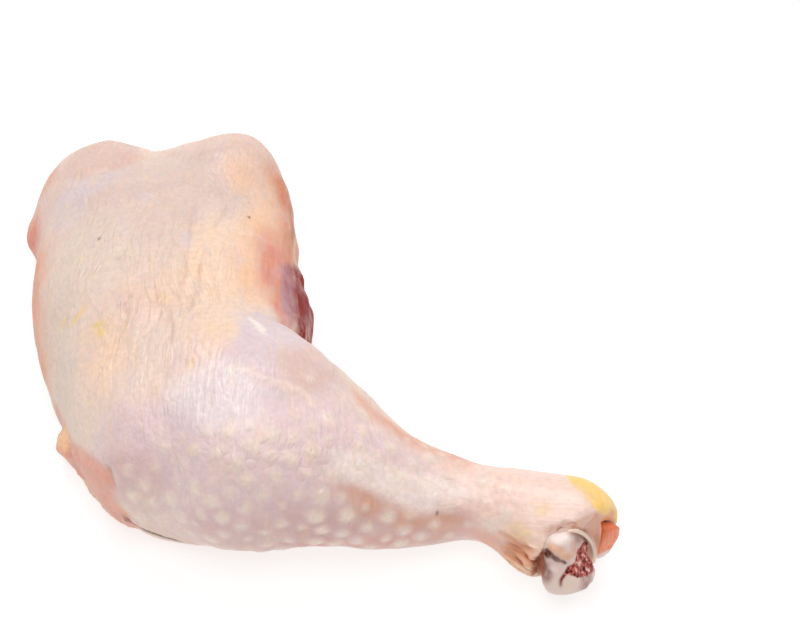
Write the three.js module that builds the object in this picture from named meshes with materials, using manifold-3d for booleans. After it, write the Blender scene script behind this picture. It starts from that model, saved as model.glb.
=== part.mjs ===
// A raw chicken leg with its skin on: thigh and drumstick in one piece, lying on its inner side with the
// skin up. The shin bone runs through the drumstick and shows at the hock, where the foot was cut off, and
// a cut tendon shows behind it.
// Millimetres, +Z up. x runs from the knee towards the hock, y from the knee towards the hip. The shapes
// are laid out from a point on the table under the knee, and the finished group is then centred.

import * as THREE from 'three';
import { mergeVertices } from 'three/addons/utils/BufferGeometryUtils.js';
import Module from 'manifold-3d';

const wasm = await Module();
wasm.setup();

// Driving dimensions

const gap = 0.35; // between pieces that touch
const thigh = {
  length: 103, // knee to the cut hip end
  width: 74, // across the widest level
  rimHeight: 9, // height of the widest level above the table
  sag: 4, // how far the round underside is flattened by the table
  kneeHeight: 44, // top of the skin beside the knee
  hipHeight: 31, // top of the skin at the hip end
  shoulder: 31, // how far in from the rim the top stops rising
};
const drumstick = {
  length: 118, // knee to the heel
  calf: 56, // across the fattest part of the muscle
  shank: 19.5, // across the thin part above the hock
  hock: 27,
  flatness: 0.88, // height over width of the calf, which the table flattens
  heelRound: 11.7, // length of the round heel behind the cut
};
const bone = {
  shaft: 7.2,
  headWidth: 14.5, // across both knuckles
  knuckle: 6.9, // radius of the two knuckles
  neck: 13, // the head narrows to the shaft over this length
  sawn: 5, // from the middle of the knuckles to the sawn face
};
const tendon = {
  height: 13.4,
  depth: 4.8,
  length: 26,
  proud: 2, // how far its cut end stands out of the skin
};
// Rolled edge of the skin under the knee: an oval bead whose middle is at height
const flap = { radius: 5, flatness: 0.44, height: 1.35 };
const tableFillet = 3.5; // how softly the underside meets its flat
const bend = { front: 9, back: 3 }; // how softly thigh and drumstick meet at the knee

// Places, from the knee

const hockEnd = new THREE.Vector3(108.7, -29.3, 11.5); // middle of the bone's two knuckles
const shinAlong = new THREE.Vector3(0.88, -0.47, -0.05).normalize(); // down the shin, towards the foot
const headSide = new THREE.Vector3(-0.28, 0.6, 0.75).normalize(); // from the inner knuckle to the outer one
const headAlong = shinAlong.clone().projectOnPlane(headSide).normalize();
const headBack = new THREE.Vector3().crossVectors(headSide, headAlong);

// Blending of distances

const softUnion = (a, b, k) => {
  const h = Math.max(k - Math.abs(a - b), 0) / k;
  return Math.min(a, b) - h * h * k * 0.25;
};
const softCut = (a, b, k) => -softUnion(-a, -b, k);
const clamp01 = (t) => Math.min(Math.max(t, 0), 1);
const smooth = (t) => clamp01(t) ** 2 * (3 - 2 * clamp01(t));
const mix = (a, b, t) => a + (b - a) * t;

// A blob with its own half sizes, turned about the vertical
function blob(p, centre, half, turn = 0) {
  const dx = p.x - centre[0];
  const dy = p.y - centre[1];
  const c = Math.cos(turn);
  const s = Math.sin(turn);
  const q = Math.hypot((c * dx + s * dy) / half[0], (c * dy - s * dx) / half[1], (p.z - centre[2]) / half[2]);
  return (q - 1) * Math.min(...half);
}

// Thigh: a low dome over a rounded outline

// Shares of the thigh's width and length, from the front of the knee round by the hip
const thighOutline = new THREE.CatmullRomCurve3(
  [
    [-0.108, -0.024],
    [-0.25, 0.141],
    [-0.378, 0.388],
    [-0.412, 0.68],
    [-0.412, 0.903],
    [-0.243, 1.029],
    [0.027, 1.015],
    [0.311, 1.049],
    [0.466, 0.961],
    [0.568, 0.718],
    [0.615, 0.485],
    [0.568, 0.194],
    [0.338, -0.146],
    [0.041, -0.141],
  ].map(([x, y]) => new THREE.Vector3(x * thigh.width, y * thigh.length, 0)),
  true,
  'centripetal',
).getPoints(160);

// How far a point lies inside the outline, seen from above
function insideOutline(x, y) {
  let nearest = Infinity;
  let inside = false;
  for (let i = 0, j = thighOutline.length - 1; i < thighOutline.length; j = i++) {
    const a = thighOutline[j];
    const b = thighOutline[i];
    const ex = b.x - a.x;
    const ey = b.y - a.y;
    const t = clamp01(((x - a.x) * ex + (y - a.y) * ey) / (ex * ex + ey * ey || 1));
    nearest = Math.min(nearest, Math.hypot(x - a.x - t * ex, y - a.y - t * ey));
    if (a.y > y !== b.y > y && x < a.x + ((y - a.y) / (b.y - a.y)) * ex) inside = !inside;
  }
  return inside ? nearest : -nearest;
}

function thighField(p) {
  const inwards = insideOutline(p.x, p.y);
  const up = mix(thigh.kneeHeight, thigh.hipHeight, smooth(p.y / thigh.length)) - thigh.rimHeight;
  const level = p.z - thigh.rimHeight;
  const reach = level > 0 ? thigh.shoulder : thigh.rimHeight;
  const rise = level > 0 ? up : thigh.rimHeight + thigh.sag;
  const q = Math.hypot(Math.max(reach - inwards, 0) / reach, level / rise);
  return (q - 1) * Math.min(reach, rise);
}

// Drumstick: a round section swept from the knee to the hock

// at is a share of its length, rest is how far the section's lowest point is above the table
const shinStations = [
  { at: 0.093, y: 3, across: 0.82 * drumstick.calf, rest: -1.5 },
  { at: 0.161, y: 0.7, across: 0.95 * drumstick.calf, rest: -1.5 },
  { at: 0.254, y: -0.8, across: drumstick.calf, rest: -1.5 },
  { at: 0.381, y: -1.7, across: 0.95 * drumstick.calf, rest: -1.5 },
  { at: 0.492, y: -5.6, across: 0.75 * drumstick.calf, rest: -0.5 },
  { at: 0.61, y: -9.7, across: 1.41 * drumstick.shank, rest: 1 },
  { at: 0.737, y: -12.7, across: 1.02 * drumstick.shank, rest: 3.5 },
  { at: 0.83, y: -17.1, across: 1.24 * drumstick.shank, rest: 1.2 },
  { at: 0.932, y: -20.8, across: drumstick.hock, rest: -0.4 },
  { at: 1, y: -22, across: drumstick.hock, rest: -0.4 },
].map((s) => {
  const flat = mix(drumstick.flatness, 1, smooth((s.at - 0.34) / 0.42));
  const halfUp = (flat * s.across) / 2;
  return { ...s, x: s.at * drumstick.length, half: s.across / 2, halfUp, z: halfUp + s.rest };
});

// The station's values at a distance x, on a smooth curve through the stations
function shinAt(x) {
  const last = shinStations.length - 1;
  let i = 0;
  while (i < last - 1 && x > shinStations[i + 1].x) i++;
  const s = [Math.max(i - 1, 0), i, i + 1, Math.min(i + 2, last)].map((k) => shinStations[k]);
  const width = s[2].x - s[1].x;
  const t = clamp01((x - s[1].x) / width);
  const along = (key) => {
    const slopeIn = ((s[2][key] - s[0][key]) / (s[2].x - s[0].x)) * width;
    const slopeOut = ((s[3][key] - s[1][key]) / (s[3].x - s[1].x)) * width;
    const ends = mix(s[1][key], s[2][key], smooth(t));
    return ends + t * (1 - t) * ((1 - t) * slopeIn - t * slopeOut);
  };
  return { y: along('y'), z: along('z'), half: along('half'), halfUp: along('halfUp') };
}

const heelFrom = 0.945 * drumstick.length;

function drumstickField(p) {
  const c = shinAt(p.x);
  const before = Math.max(shinStations[0].x - p.x, 0) / c.half;
  const after = Math.max(p.x - heelFrom, 0) / drumstick.heelRound;
  const q = Math.hypot((p.y - c.y) / c.half, (p.z - c.z) / c.halfUp, before, after);
  return (q - 1) * Math.min(c.half, c.halfUp);
}

// Where the foot was cut off: skin and flesh end on this slanting plane

const hockCut = new THREE.Plane().setFromNormalAndCoplanarPoint(
  new THREE.Vector3(0.543, -0.833, -0.103).normalize(),
  new THREE.Vector3(109, -28.9, 24.7),
);

// Lobes of fat and muscle that stand out of the rim

const lobes = [
  { at: [-13.5, 93.5, 13], half: [15.5, 14, 14], blend: 2.5, turn: 0.15 }, // hip end, front
  { at: [21.5, 93.5, 14], half: [13, 14.5, 17], blend: 6, turn: -0.3 }, // hip end, back
  { at: [-31, 78.5, 9], half: [3.4, 7.5, 5.5], blend: 1.5, turn: 0 }, // loose end of a muscle
  { at: [25, 13, 26], half: [20.5, 17, 19], blend: 8, turn: 0.6 }, // back of the calf
  { at: [101.5, -22.4, 12], half: [8, 8, 9.8], blend: 4, turn: -0.45 }, // skin round the head of the bone
];

function lobesField(p, field) {
  return lobes.reduce((f, lobe) => softUnion(f, blob(p, lobe.at, lobe.half, lobe.turn), lobe.blend), field);
}

// Loose folds of skin below the bone at the hock
const hockFolds = [
  { from: [91.5, -18.5, 6.5], to: [102.5, -27, 5.5], radius: 2.3 },
  { from: [95, -27, 11.5], to: [102.5, -31, 9.5], radius: 1.7 },
];

function rod(p, from, to, radius) {
  const a = new THREE.Vector3(...from);
  const along = new THREE.Vector3(...to).sub(a);
  const t = clamp01(p.clone().sub(a).dot(along) / along.lengthSq());
  return p.distanceTo(a.addScaledVector(along, t)) - radius;
}

// Slow unevenness of soft meat
const uneven = (p) =>
  0.5 * Math.sin(p.x / 8.1 + 1.3 * Math.sin(p.y / 13)) * Math.sin(p.y / 9.7 + 0.8) +
  0.35 * Math.sin(p.x / 5.3 - p.y / 6.1 + p.z / 9);

function legField(p) {
  const behindKnee = smooth((p.x - 22) / 20);
  const beforeHock = smooth((100 - p.x) / 20);
  let f = softUnion(thighField(p), drumstickField(p), mix(bend.front, bend.back, behindKnee));
  f = lobesField(p, f) + uneven(p) * beforeHock;
  f = hockFolds.reduce((g, fold) => softUnion(g, rod(p, fold.from, fold.to, fold.radius), 1), f);
  f = softCut(f, hockCut.distanceToPoint(p), 1.2);
  return softCut(f, -p.z, tableFillet);
}

// Meshing

// Surface net of field over a grid, whose corners place() puts in space, as { positions, triangles }
function surfaceNet(field, counts, place) {
  const [nx, ny, nz] = counts;
  const corner = (i, j, k) => (k * (ny + 1) + j) * (nx + 1) + i;
  const points = [];
  const values = new Float64Array((nx + 1) * (ny + 1) * (nz + 1));
  for (let k = 0; k <= nz; k++)
    for (let j = 0; j <= ny; j++)
      for (let i = 0; i <= nx; i++) {
        const p = place(i / nx, j / ny, k / nz);
        values[points.length] = field(p);
        points.push(p);
      }
  const positions = [];
  const cells = new Map();
  const vertexOf = (i, j, k) => {
    const key = corner(i, j, k);
    if (cells.has(key)) return cells.get(key);
    const sum = new THREE.Vector3();
    let crossings = 0;
    const ends = [0, 1, 2, 3, 4, 5, 6, 7].map((b) => corner(i + (b & 1), j + ((b >> 1) & 1), k + (b >> 2)));
    for (let a = 0; a < 8; a++)
      for (const bit of [1, 2, 4]) {
        const b = a | bit;
        if (b === a || values[ends[a]] < 0 === values[ends[b]] < 0) continue;
        const t = values[ends[a]] / (values[ends[a]] - values[ends[b]]);
        sum.addScaledVector(points[ends[a]], 1 - t).addScaledVector(points[ends[b]], t);
        crossings++;
      }
    const made = settle(field, sum.divideScalar(crossings), points[ends[0]].distanceTo(points[ends[7]]) / 4);
    cells.set(key, positions.length / 3);
    positions.push(made.x, made.y, made.z);
    return cells.get(key);
  };
  const triangles = [];
  const quad = (a, b, c, d, turned) => {
    const [p, q, r, s] = turned ? [a, d, c, b] : [a, b, c, d];
    triangles.push(p, q, r, p, r, s);
  };
  for (let k = 1; k < nz; k++)
    for (let j = 1; j < ny; j++)
      for (let i = 1; i < nx; i++) {
        const inside = values[corner(i, j, k)] < 0;
        const at = (di, dj, dk) => vertexOf(i - di, j - dj, k - dk);
        if (inside !== values[corner(i + 1, j, k)] < 0)
          quad(at(0, 1, 1), at(0, 0, 1), at(0, 0, 0), at(0, 1, 0), !inside);
        if (inside !== values[corner(i, j + 1, k)] < 0)
          quad(at(1, 0, 1), at(1, 0, 0), at(0, 0, 0), at(0, 0, 1), !inside);
        if (inside !== values[corner(i, j, k + 1)] < 0)
          quad(at(1, 1, 0), at(0, 1, 0), at(0, 0, 0), at(1, 0, 0), !inside);
      }
  return { positions, triangles };
}

// Moves a vertex onto the surface, by no more than limit
function settle(field, p, limit) {
  const start = p.clone();
  const h = 0.05;
  const slope = new THREE.Vector3();
  for (let step = 0; step < 3; step++) {
    const f = field(p);
    slope.set(
      field(new THREE.Vector3(p.x + h, p.y, p.z)) - f,
      field(new THREE.Vector3(p.x, p.y + h, p.z)) - f,
      field(new THREE.Vector3(p.x, p.y, p.z + h)) - f,
    );
    slope.divideScalar(h);
    p.addScaledVector(slope, -f / Math.max(slope.lengthSq(), 0.05));
  }
  return p.distanceTo(start) > limit ? start : p;
}

function solidOf({ positions, triangles }) {
  return new wasm.Manifold(
    new wasm.Mesh({
      numProp: 3,
      vertProperties: new Float32Array(positions),
      triVerts: new Uint32Array(triangles),
    }),
  );
}

function solidFromGeometry(geometry) {
  const bare = geometry.clone();
  for (const name of Object.keys(bare.attributes)) if (name !== 'position') bare.deleteAttribute(name);
  const merged = mergeVertices(bare, 1e-4);
  return solidOf({ positions: merged.attributes.position.array, triangles: merged.index.array });
}

function geometryOf(solid) {
  const { numProp, vertProperties, triVerts } = solid.getMesh();
  const positions = new Float32Array((vertProperties.length / numProp) * 3);
  for (let i = 0; i < positions.length / 3; i++)
    positions.set(vertProperties.subarray(i * numProp, i * numProp + 3), i * 3);
  const geometry = new THREE.BufferGeometry();
  geometry.setAttribute('position', new THREE.BufferAttribute(positions, 3));
  geometry.setIndex(new THREE.BufferAttribute(new Uint32Array(triVerts), 1));
  geometry.computeVertexNormals();
  return geometry;
}

// The leg's grid narrows with the drumstick
const legGrid = {
  cell: 4.4, // over the thigh
  fineness: 0.35, // size of a cell at the hock, as a share of that
  from: [-42, -60, -6],
  to: [130, 118, 82],
  fineFrom: 44, // it narrows between these two places along x
  fineTo: 92,
};

function meshLeg(field) {
  const { cell, fineness, from, to, fineFrom, fineTo } = legGrid;
  const share = (x) => mix(1, fineness, smooth((x - fineFrom) / (fineTo - fineFrom)));
  const stops = [from[0]];
  while (stops.at(-1) < to[0]) stops.push(stops.at(-1) + cell * share(stops.at(-1)));
  const counts = [stops.length - 1, ...[1, 2].map((axis) => Math.ceil((to[axis] - from[axis]) / cell))];
  return surfaceNet(field, counts, (u, v, w) => {
    const x = stops[Math.round(u * counts[0])];
    const s = share(x);
    const middle = shinAt(x).y * smooth((x - 20) / 40); // it follows the drumstick sideways
    return new THREE.Vector3(x, middle + mix(from[1], to[1], v) * s, mix(from[2], to[2], w) * s);
  });
}

function meshBox(field, box, cell) {
  const size = box.getSize(new THREE.Vector3());
  const counts = size.toArray().map((length) => Math.ceil(length / cell));
  return surfaceNet(
    field,
    counts,
    (u, v, w) => new THREE.Vector3(u, v, w).multiply(size).add(box.min),
  );
}

// Shin bone

// A step from the middle of the knuckles, in the directions of the bone's head
function onHead(d) {
  return { along: d.dot(headAlong), back: d.dot(headBack), side: d.dot(headSide) };
}

// The saw took a slice off the end of the head
const sawCut = new THREE.Vector3()
  .addScaledVector(headAlong, 0.93)
  .addScaledVector(headBack, -0.2)
  .addScaledVector(headSide, 0.05)
  .normalize();

// A knuckle is a thick disc with full edges, standing at a place along headSide
function knuckle(q, place, radius) {
  const half = 0.27 * bone.headWidth;
  const fullness = 1.5; // 1 is an ellipsoid
  const out = Math.abs(q.side - place) / half;
  const round = Math.hypot(q.along, q.back) / radius;
  return (Math.hypot(out ** fullness, round ** fullness) ** (1 / fullness) - 1) * half;
}

function boneHeadField(p, grow) {
  const d = p.clone().sub(hockEnd);
  const q = onHead(d);
  const offset = 0.25 * bone.headWidth;
  const outer = knuckle(q, offset, 0.94 * bone.knuckle);
  const inner = knuckle(q, -offset, bone.knuckle);
  const valley = 0.72 * bone.knuckle; // the groove between the knuckles is filled up to this radius
  const fill = 4 * (Math.hypot(q.along / valley, q.back / valley, q.side / 6) - 1);
  const down = d.dot(shinAlong);
  const aside = d.clone().addScaledVector(shinAlong, -down).length();
  const thick = mix(bone.shaft / 2, 0.38 * bone.headWidth, smooth((down + bone.neck) / bone.neck));
  const neck = Math.max(aside - thick, down - 1, -bone.neck - down);
  const head = softUnion(softUnion(softUnion(outer, inner, 0.8), fill, 1), neck, 2);
  return softCut(head, d.dot(sawCut) - bone.sawn, 0.4) - grow;
}

// The shaft's middle line, from the head back to the knee
const shaftLine = new THREE.CatmullRomCurve3([
  hockEnd.clone().addScaledVector(shinAlong, 4 - bone.neck),
  new THREE.Vector3(90, -18.2, 13.2),
  new THREE.Vector3(78, -12.8, 13.6),
  new THREE.Vector3(58, -7, 18),
  new THREE.Vector3(36, -3, 21),
  new THREE.Vector3(16, 1, 21),
]);

function circle(radius, sides) {
  const corners = Array.from({ length: sides }, (_, i) => (2 * Math.PI * i) / sides);
  return new THREE.Shape(corners.map((a) => new THREE.Vector2(radius * Math.cos(a), radius * Math.sin(a))));
}

function tube(line, radius, sides, steps) {
  return new THREE.ExtrudeGeometry(circle(radius, sides), { steps, bevelEnabled: false, extrudePath: line });
}

function boneSolid(grow) {
  const middle = hockEnd.clone().addScaledVector(shinAlong, -3);
  const box = new THREE.Box3().setFromCenterAndSize(middle, new THREE.Vector3(30, 28, 24));
  const head = solidOf(meshBox((p) => boneHeadField(p, grow), box, 1.5));
  return head.add(solidFromGeometry(tube(shaftLine, bone.shaft / 2 + grow, 12, 20)));
}

// Tendon at the back of the hock: a flat strip, cut off a little beyond the skin

const tendonEnd = new THREE.Vector3(119, -21.7, 9.3);
const tendonAlong = new THREE.Vector3(0.93, -0.36, -0.05).normalize();
const tendonUp = new THREE.Vector3(0.08, 0.06, 1).projectOnPlane(tendonAlong).normalize();
const tendonSide = new THREE.Vector3().crossVectors(tendonUp, tendonAlong);

// Share of the length from the buried end, and share of the full section there
const tendonRings = [
  [0, 0.5],
  [0.03, 0.66],
  [0.2, 0.73],
  [0.4, 0.8],
  [0.6, 0.87],
  [0.8, 0.94],
  [0.95, 1],
  [0.985, 0.97],
  [1, 0.86],
];

function tendonSolid(grow) {
  const steps = tendonRings.length - 1;
  const geometry = new THREE.ExtrudeGeometry(circle(1, 20), { steps, depth: 1, bevelEnabled: false });
  const spots = geometry.attributes.position;
  const face = hockCut.clone();
  face.constant -= tendon.proud + grow;
  const full = (v) => Math.sign(v) * Math.abs(v) ** 0.75; // fills out the corners of the oval section
  for (let i = 0; i < spots.count; i++) {
    const [share, size] = tendonRings[Math.round(spots.getZ(i) * steps)];
    const across = full(spots.getX(i)) * (0.5 * size * tendon.depth + grow);
    const up = full(spots.getY(i)) * (0.5 * size * tendon.height + grow);
    const p = tendonEnd.clone().addScaledVector(tendonSide, across).addScaledVector(tendonUp, up);
    const front = -face.distanceToPoint(p) / face.normal.dot(tendonAlong);
    p.addScaledVector(tendonAlong, mix(-tendon.length - grow, front, share));
    spots.setXYZ(i, p.x, p.y, p.z);
  }
  return solidFromGeometry(geometry);
}

// The skin ends at the front of the knee in a rolled flap with a lump of fat above it

function skinFlap() {
  const line = new THREE.CatmullRomCurve3(
    [
      [-14.6, 20],
      [-15.3, 14.6],
      [-9.9, 5.4],
      [-4.3, -2.9],
      [0.6, -7.4],
      [6, -8],
    ].map(([x, y]) => new THREE.Vector3(x, y, 0)),
  );
  const roll = tube(line, flap.radius, 12, 22);
  roll.scale(1, 1, flap.flatness);
  roll.translate(0, 0, flap.height);
  return solidFromGeometry(roll).trimByPlane([0, 0, 1], 0);
}

function fatLump() {
  const lump = new THREE.SphereGeometry(1, 14, 10);
  lump.scale(3.2, 5.4, 4.6);
  lump.translate(-17.3, 11.2, 6.6);
  return solidFromGeometry(lump);
}

// The finished pieces

function piece(name, solid, color, roughness) {
  const material = new THREE.MeshStandardMaterial({ color, roughness, metalness: 0 });
  const mesh = new THREE.Mesh(geometryOf(solid), material);
  mesh.name = name;
  return mesh;
}

const slivers = 0.04; // edges shorter than this are taken out after the cuts
const flesh = solidOf(meshLeg(legField)).add(skinFlap()).add(fatLump());
const leg = flesh.subtract(boneSolid(gap)).subtract(tendonSolid(gap)).simplify(slivers);

const group = new THREE.Group();
group.add(
  piece('leg', leg, 0xe8cfc2, 0.35),
  piece('shin_bone', boneSolid(0), 0xded5d8, 0.3),
  piece('hock_tendon', tendonSolid(0), 0xe69673, 0.35),
);

// The origin is the middle of the underside
const box = new THREE.Box3().setFromObject(group, true);
const centre = box.getCenter(new THREE.Vector3());
group.position.set(-centre.x, -centre.y, -box.min.z);

export default group;
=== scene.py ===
# A raw chicken leg with its skin on, lying with the outer side up on a pale table.
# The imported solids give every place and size; this script makes the wet skin, the bone head and the tendon.

import math

import bmesh
import bpy
import numpy as np
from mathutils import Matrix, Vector


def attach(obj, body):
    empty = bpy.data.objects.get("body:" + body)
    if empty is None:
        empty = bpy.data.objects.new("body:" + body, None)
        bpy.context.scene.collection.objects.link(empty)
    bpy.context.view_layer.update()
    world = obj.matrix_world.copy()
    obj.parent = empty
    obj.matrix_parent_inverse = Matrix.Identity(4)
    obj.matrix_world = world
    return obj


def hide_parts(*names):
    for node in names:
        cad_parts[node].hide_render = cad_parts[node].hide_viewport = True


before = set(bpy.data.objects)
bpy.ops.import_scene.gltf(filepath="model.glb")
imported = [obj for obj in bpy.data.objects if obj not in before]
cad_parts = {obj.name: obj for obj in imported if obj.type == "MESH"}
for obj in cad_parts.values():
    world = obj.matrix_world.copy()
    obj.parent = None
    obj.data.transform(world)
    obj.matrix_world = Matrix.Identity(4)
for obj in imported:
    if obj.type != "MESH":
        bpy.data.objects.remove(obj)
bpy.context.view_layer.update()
collection = bpy.context.scene.collection

# Places below are in millimetres from a point on the table under the knee
kneeAt = np.array([-44.368, -35.920, 0.0])


def toFrame(places):
    return (np.asarray(places, float) + kneeAt) * 0.001


def fromFrame(places):
    return np.asarray(places, float) * 1000 - kneeAt


def linear(hexColour):
    parts = [int(hexColour[i:i + 2], 16) / 255 for i in (1, 3, 5)]
    return [c / 12.92 if c <= 0.04045 else ((c + 0.055) / 1.055) ** 2.4 for c in parts] + [1.0]


def smoothStep(t):
    t = np.clip(t, 0, 1)
    return t * t * (3 - 2 * t)


# Seeded smooth random values from -1 to 1 that change over cell millimetres
def valueNoise(points, cell, seed):
    q = points / np.asarray(cell, float)
    corner = np.floor(q).astype(np.int64)
    share = q - corner
    share = share * share * (3 - 2 * share)
    total = np.zeros(len(points))
    for dx in (0, 1):
        for dy in (0, 1):
            for dz in (0, 1):
                key = (corner + (dx, dy, dz)) * (374761393, 668265263, 2147483629)
                h = (key.sum(1) + seed * 974711) & 0xFFFFFFFF
                h = ((h ^ (h >> 13)) * 1274126177) & 0xFFFFFFFF
                h = ((h ^ (h >> 16)) * 2246822519) & 0xFFFFFFFF
                value = ((h ^ (h >> 15)) & 0xFFFF) / 32767.5 - 1
                weight = np.ones(len(points))
                for axis, step in enumerate((dx, dy, dz)):
                    weight *= share[:, axis] if step else 1 - share[:, axis]
                total += value * weight
    return total


# Soft spots on the skin: middle, half sizes, turn about the vertical in degrees, strength
def spotMask(points, spots):
    left = np.ones(len(points))
    for x, y, z, halfX, halfY, halfZ, turn, strength in spots:
        a = math.radians(turn)
        d = points - (x, y, z)
        along = math.cos(a) * d[:, 0] + math.sin(a) * d[:, 1]
        aside = math.cos(a) * d[:, 1] - math.sin(a) * d[:, 0]
        q = np.sqrt((along / halfX) ** 2 + (aside / halfY) ** 2 + (d[:, 2] / halfZ) ** 2)
        left *= 1 - strength * smoothStep((1.35 - q) / 0.95)
    return 1 - left


# Distance from each point to a line of points, share along it, and the distance with a sign: + on its left
def nearPath(points, path, reach, normals=None):
    path = np.asarray(path, float)
    distance = np.full(len(points), 1e6)
    share = np.zeros(len(points))
    side = np.zeros(len(points))
    inBox = np.all((points > path.min(0) - reach) & (points < path.max(0) + reach), axis=1)
    near = points[inBox]
    up = np.array([[0, 0, 1.0]]) if normals is None else normals[inBox]
    lengths = np.linalg.norm(np.diff(path, axis=0), axis=1)
    starts = np.concatenate([[0], np.cumsum(lengths)])
    best = np.full(len(near), 1e6)
    bestShare = np.zeros(len(near))
    bestSide = np.zeros(len(near))
    for i, length in enumerate(lengths):
        step = path[i + 1] - path[i]
        t = np.clip(((near - path[i]) @ step) / length ** 2, 0, 1)
        away = near - path[i] - t[:, None] * step
        d = np.linalg.norm(away, axis=1)
        closer = d < best
        best[closer] = d[closer]
        bestShare[closer] = ((starts[i] + t * length) / starts[-1])[closer]
        bestSide[closer] = (np.cross(step, away) * up).sum(1)[closer]
    distance[inBox] = best
    share[inBox] = bestShare
    side[inBox] = np.sign(bestSide) * best
    return distance, share, side


def smoothPath(path, steps=8):
    path = [np.asarray(p, float) for p in path]
    ends = [2 * path[0] - path[1], *path, 2 * path[-1] - path[-2]]
    made = []
    for i in range(len(path) - 1):
        a, b, c, d = ends[i:i + 4]
        for k in range(steps):
            t = k / steps
            made.append(0.5 * (2 * b + (c - a) * t + (2 * a - 5 * b + 4 * c - d) * t ** 2
                               + (3 * b - a - 3 * c + d) * t ** 3))
    return np.array(made + [path[-1]])


# How far each point lies inside an outline of picked points, seen straight onto the outline, from 0 to 1
def patchMask(points, outline, soft, reach=5.0):
    outline = np.asarray(outline, float)
    middle = outline.mean(0)
    axes = np.linalg.svd(outline - middle)[2]
    flat = (points - middle) @ axes.T
    edge = ((outline - middle) @ axes.T)[:, :2]
    near = np.all((flat[:, :2] > edge.min(0) - 2) & (flat[:, :2] < edge.max(0) + 2), axis=1)
    near &= np.abs(flat[:, 2]) < reach
    q = flat[near, :2]
    away = np.full(len(q), 1e6)
    inside = np.zeros(len(q), bool)
    for a, b in zip(edge, np.roll(edge, -1, axis=0)):
        step = b - a
        t = np.clip(((q - a) @ step) / (step @ step), 0, 1)
        away = np.minimum(away, np.linalg.norm(q - a - t[:, None] * step, axis=1))
        crossing = (a[1] > q[:, 1]) != (b[1] > q[:, 1])
        inside ^= crossing & (q[:, 0] < a[0] + (q[:, 1] - a[1]) * step[0] / (step[1] if step[1] else 1e-9))
    mask = np.zeros(len(points))
    mask[near] = smoothStep(0.5 + np.where(inside, away, -away) / (2 * soft))
    return mask


def bell(distance, half):
    return np.exp(-(distance / half) ** 2)


# 1 along a line, fading out over a share of its length at both ends
def endFade(t, steepness, least=0.0):
    return np.clip(np.minimum(t, 1 - t) * steepness + least, 0, 1)


# Soft band of a given half width along a line of picked points
def bandMask(points, path, half):
    d, t, side = nearPath(points, smoothPath(path), 2.5 * half)
    return bell(d, half) * endFade(t, 6, 0.15) * (d < 2.5 * half)


# Sharp crests between round hollows
def ridges(points, cell, seed):
    return 1 - 2.6 * np.abs(valueNoise(points, cell, seed))


# Fine copies of the solids

def mergedCopy(node, name):
    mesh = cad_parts[node].data.copy()
    mesh.materials.clear()
    edit = bmesh.new()
    edit.from_mesh(mesh)
    bmesh.ops.remove_doubles(edit, verts=edit.verts, dist=1e-6)
    bmesh.ops.join_triangles(edit, faces=edit.faces, angle_face_threshold=0.7, angle_shape_threshold=0.9)
    edit.to_mesh(mesh)
    edit.free()
    for layer in list(mesh.attributes):
        if layer.name in ("custom_normal", "UVMap"):
            mesh.attributes.remove(layer)
    made = bpy.data.objects.new(name, mesh)
    collection.objects.link(made)
    return made


def bakeModifiers(made):
    evaluated = made.evaluated_get(bpy.context.evaluated_depsgraph_get())
    mesh = bpy.data.meshes.new_from_object(evaluated)
    old = made.data
    made.modifiers.clear()
    made.data = mesh
    bpy.data.meshes.remove(old)
    mesh.name = made.name
    return made


def refine(made, levels, voxel, smoothing):
    if levels:
        subdivide = made.modifiers.new("rounded", "SUBSURF")
        subdivide.levels = subdivide.render_levels = levels
    remesh = made.modifiers.new("even", "REMESH")
    remesh.mode = "VOXEL"
    remesh.voxel_size = voxel * 0.001
    soften = made.modifiers.new("soft", "SMOOTH")
    soften.factor = 0.5
    soften.iterations = smoothing
    return bakeModifiers(made)


def readPoints(mesh):
    flat = np.zeros(len(mesh.vertices) * 3, np.float32)
    mesh.vertices.foreach_get("co", flat)
    return fromFrame(flat.reshape(-1, 3))


def readNormals(mesh):
    flat = np.zeros(len(mesh.vertices) * 3, np.float32)
    mesh.vertex_normals.foreach_get("vector", flat)
    return flat.reshape(-1, 3).astype(float)


def writePoints(mesh, points):
    mesh.vertices.foreach_set("co", toFrame(points).astype(np.float32).ravel())
    mesh.update()


def writeMask(mesh, name, values):
    layer = mesh.attributes.get(name) or mesh.attributes.new(name, "FLOAT", "POINT")
    layer.data.foreach_set("value", np.asarray(values, np.float32))


def writePlaces(mesh, name, values):
    layer = mesh.attributes.get(name) or mesh.attributes.new(name, "FLOAT_VECTOR", "POINT")
    layer.data.foreach_set("vector", np.asarray(values, np.float32).ravel())


def smoothShading(mesh):
    mesh.polygons.foreach_set("use_smooth", np.ones(len(mesh.polygons), bool))


# Material nodes

# Adds a node and gives its output: a socket among the values is linked to the input of that name or number.
# The Mix node takes its factor at 0 and its colours at 6 and 7, and gives the mixed colour at 2
def addNode(nodes, kind, values=None, out=0):
    node = nodes.new(kind)
    for key, value in (values or {}).items():
        if isinstance(value, bpy.types.NodeSocket):
            nodes.id_data.links.new(value, node.inputs[key])
        elif isinstance(key, int) or key in node.inputs:
            node.inputs[key].default_value = value
        else:
            setattr(node, key, value)
    return node.outputs[out] if len(node.outputs) else node


def newMaterial(name):
    material = bpy.data.materials.new(name)
    material.use_nodes = True
    nodes = material.node_tree.nodes
    nodes.clear()
    return material, nodes


# Skin, fat and flesh

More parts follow.
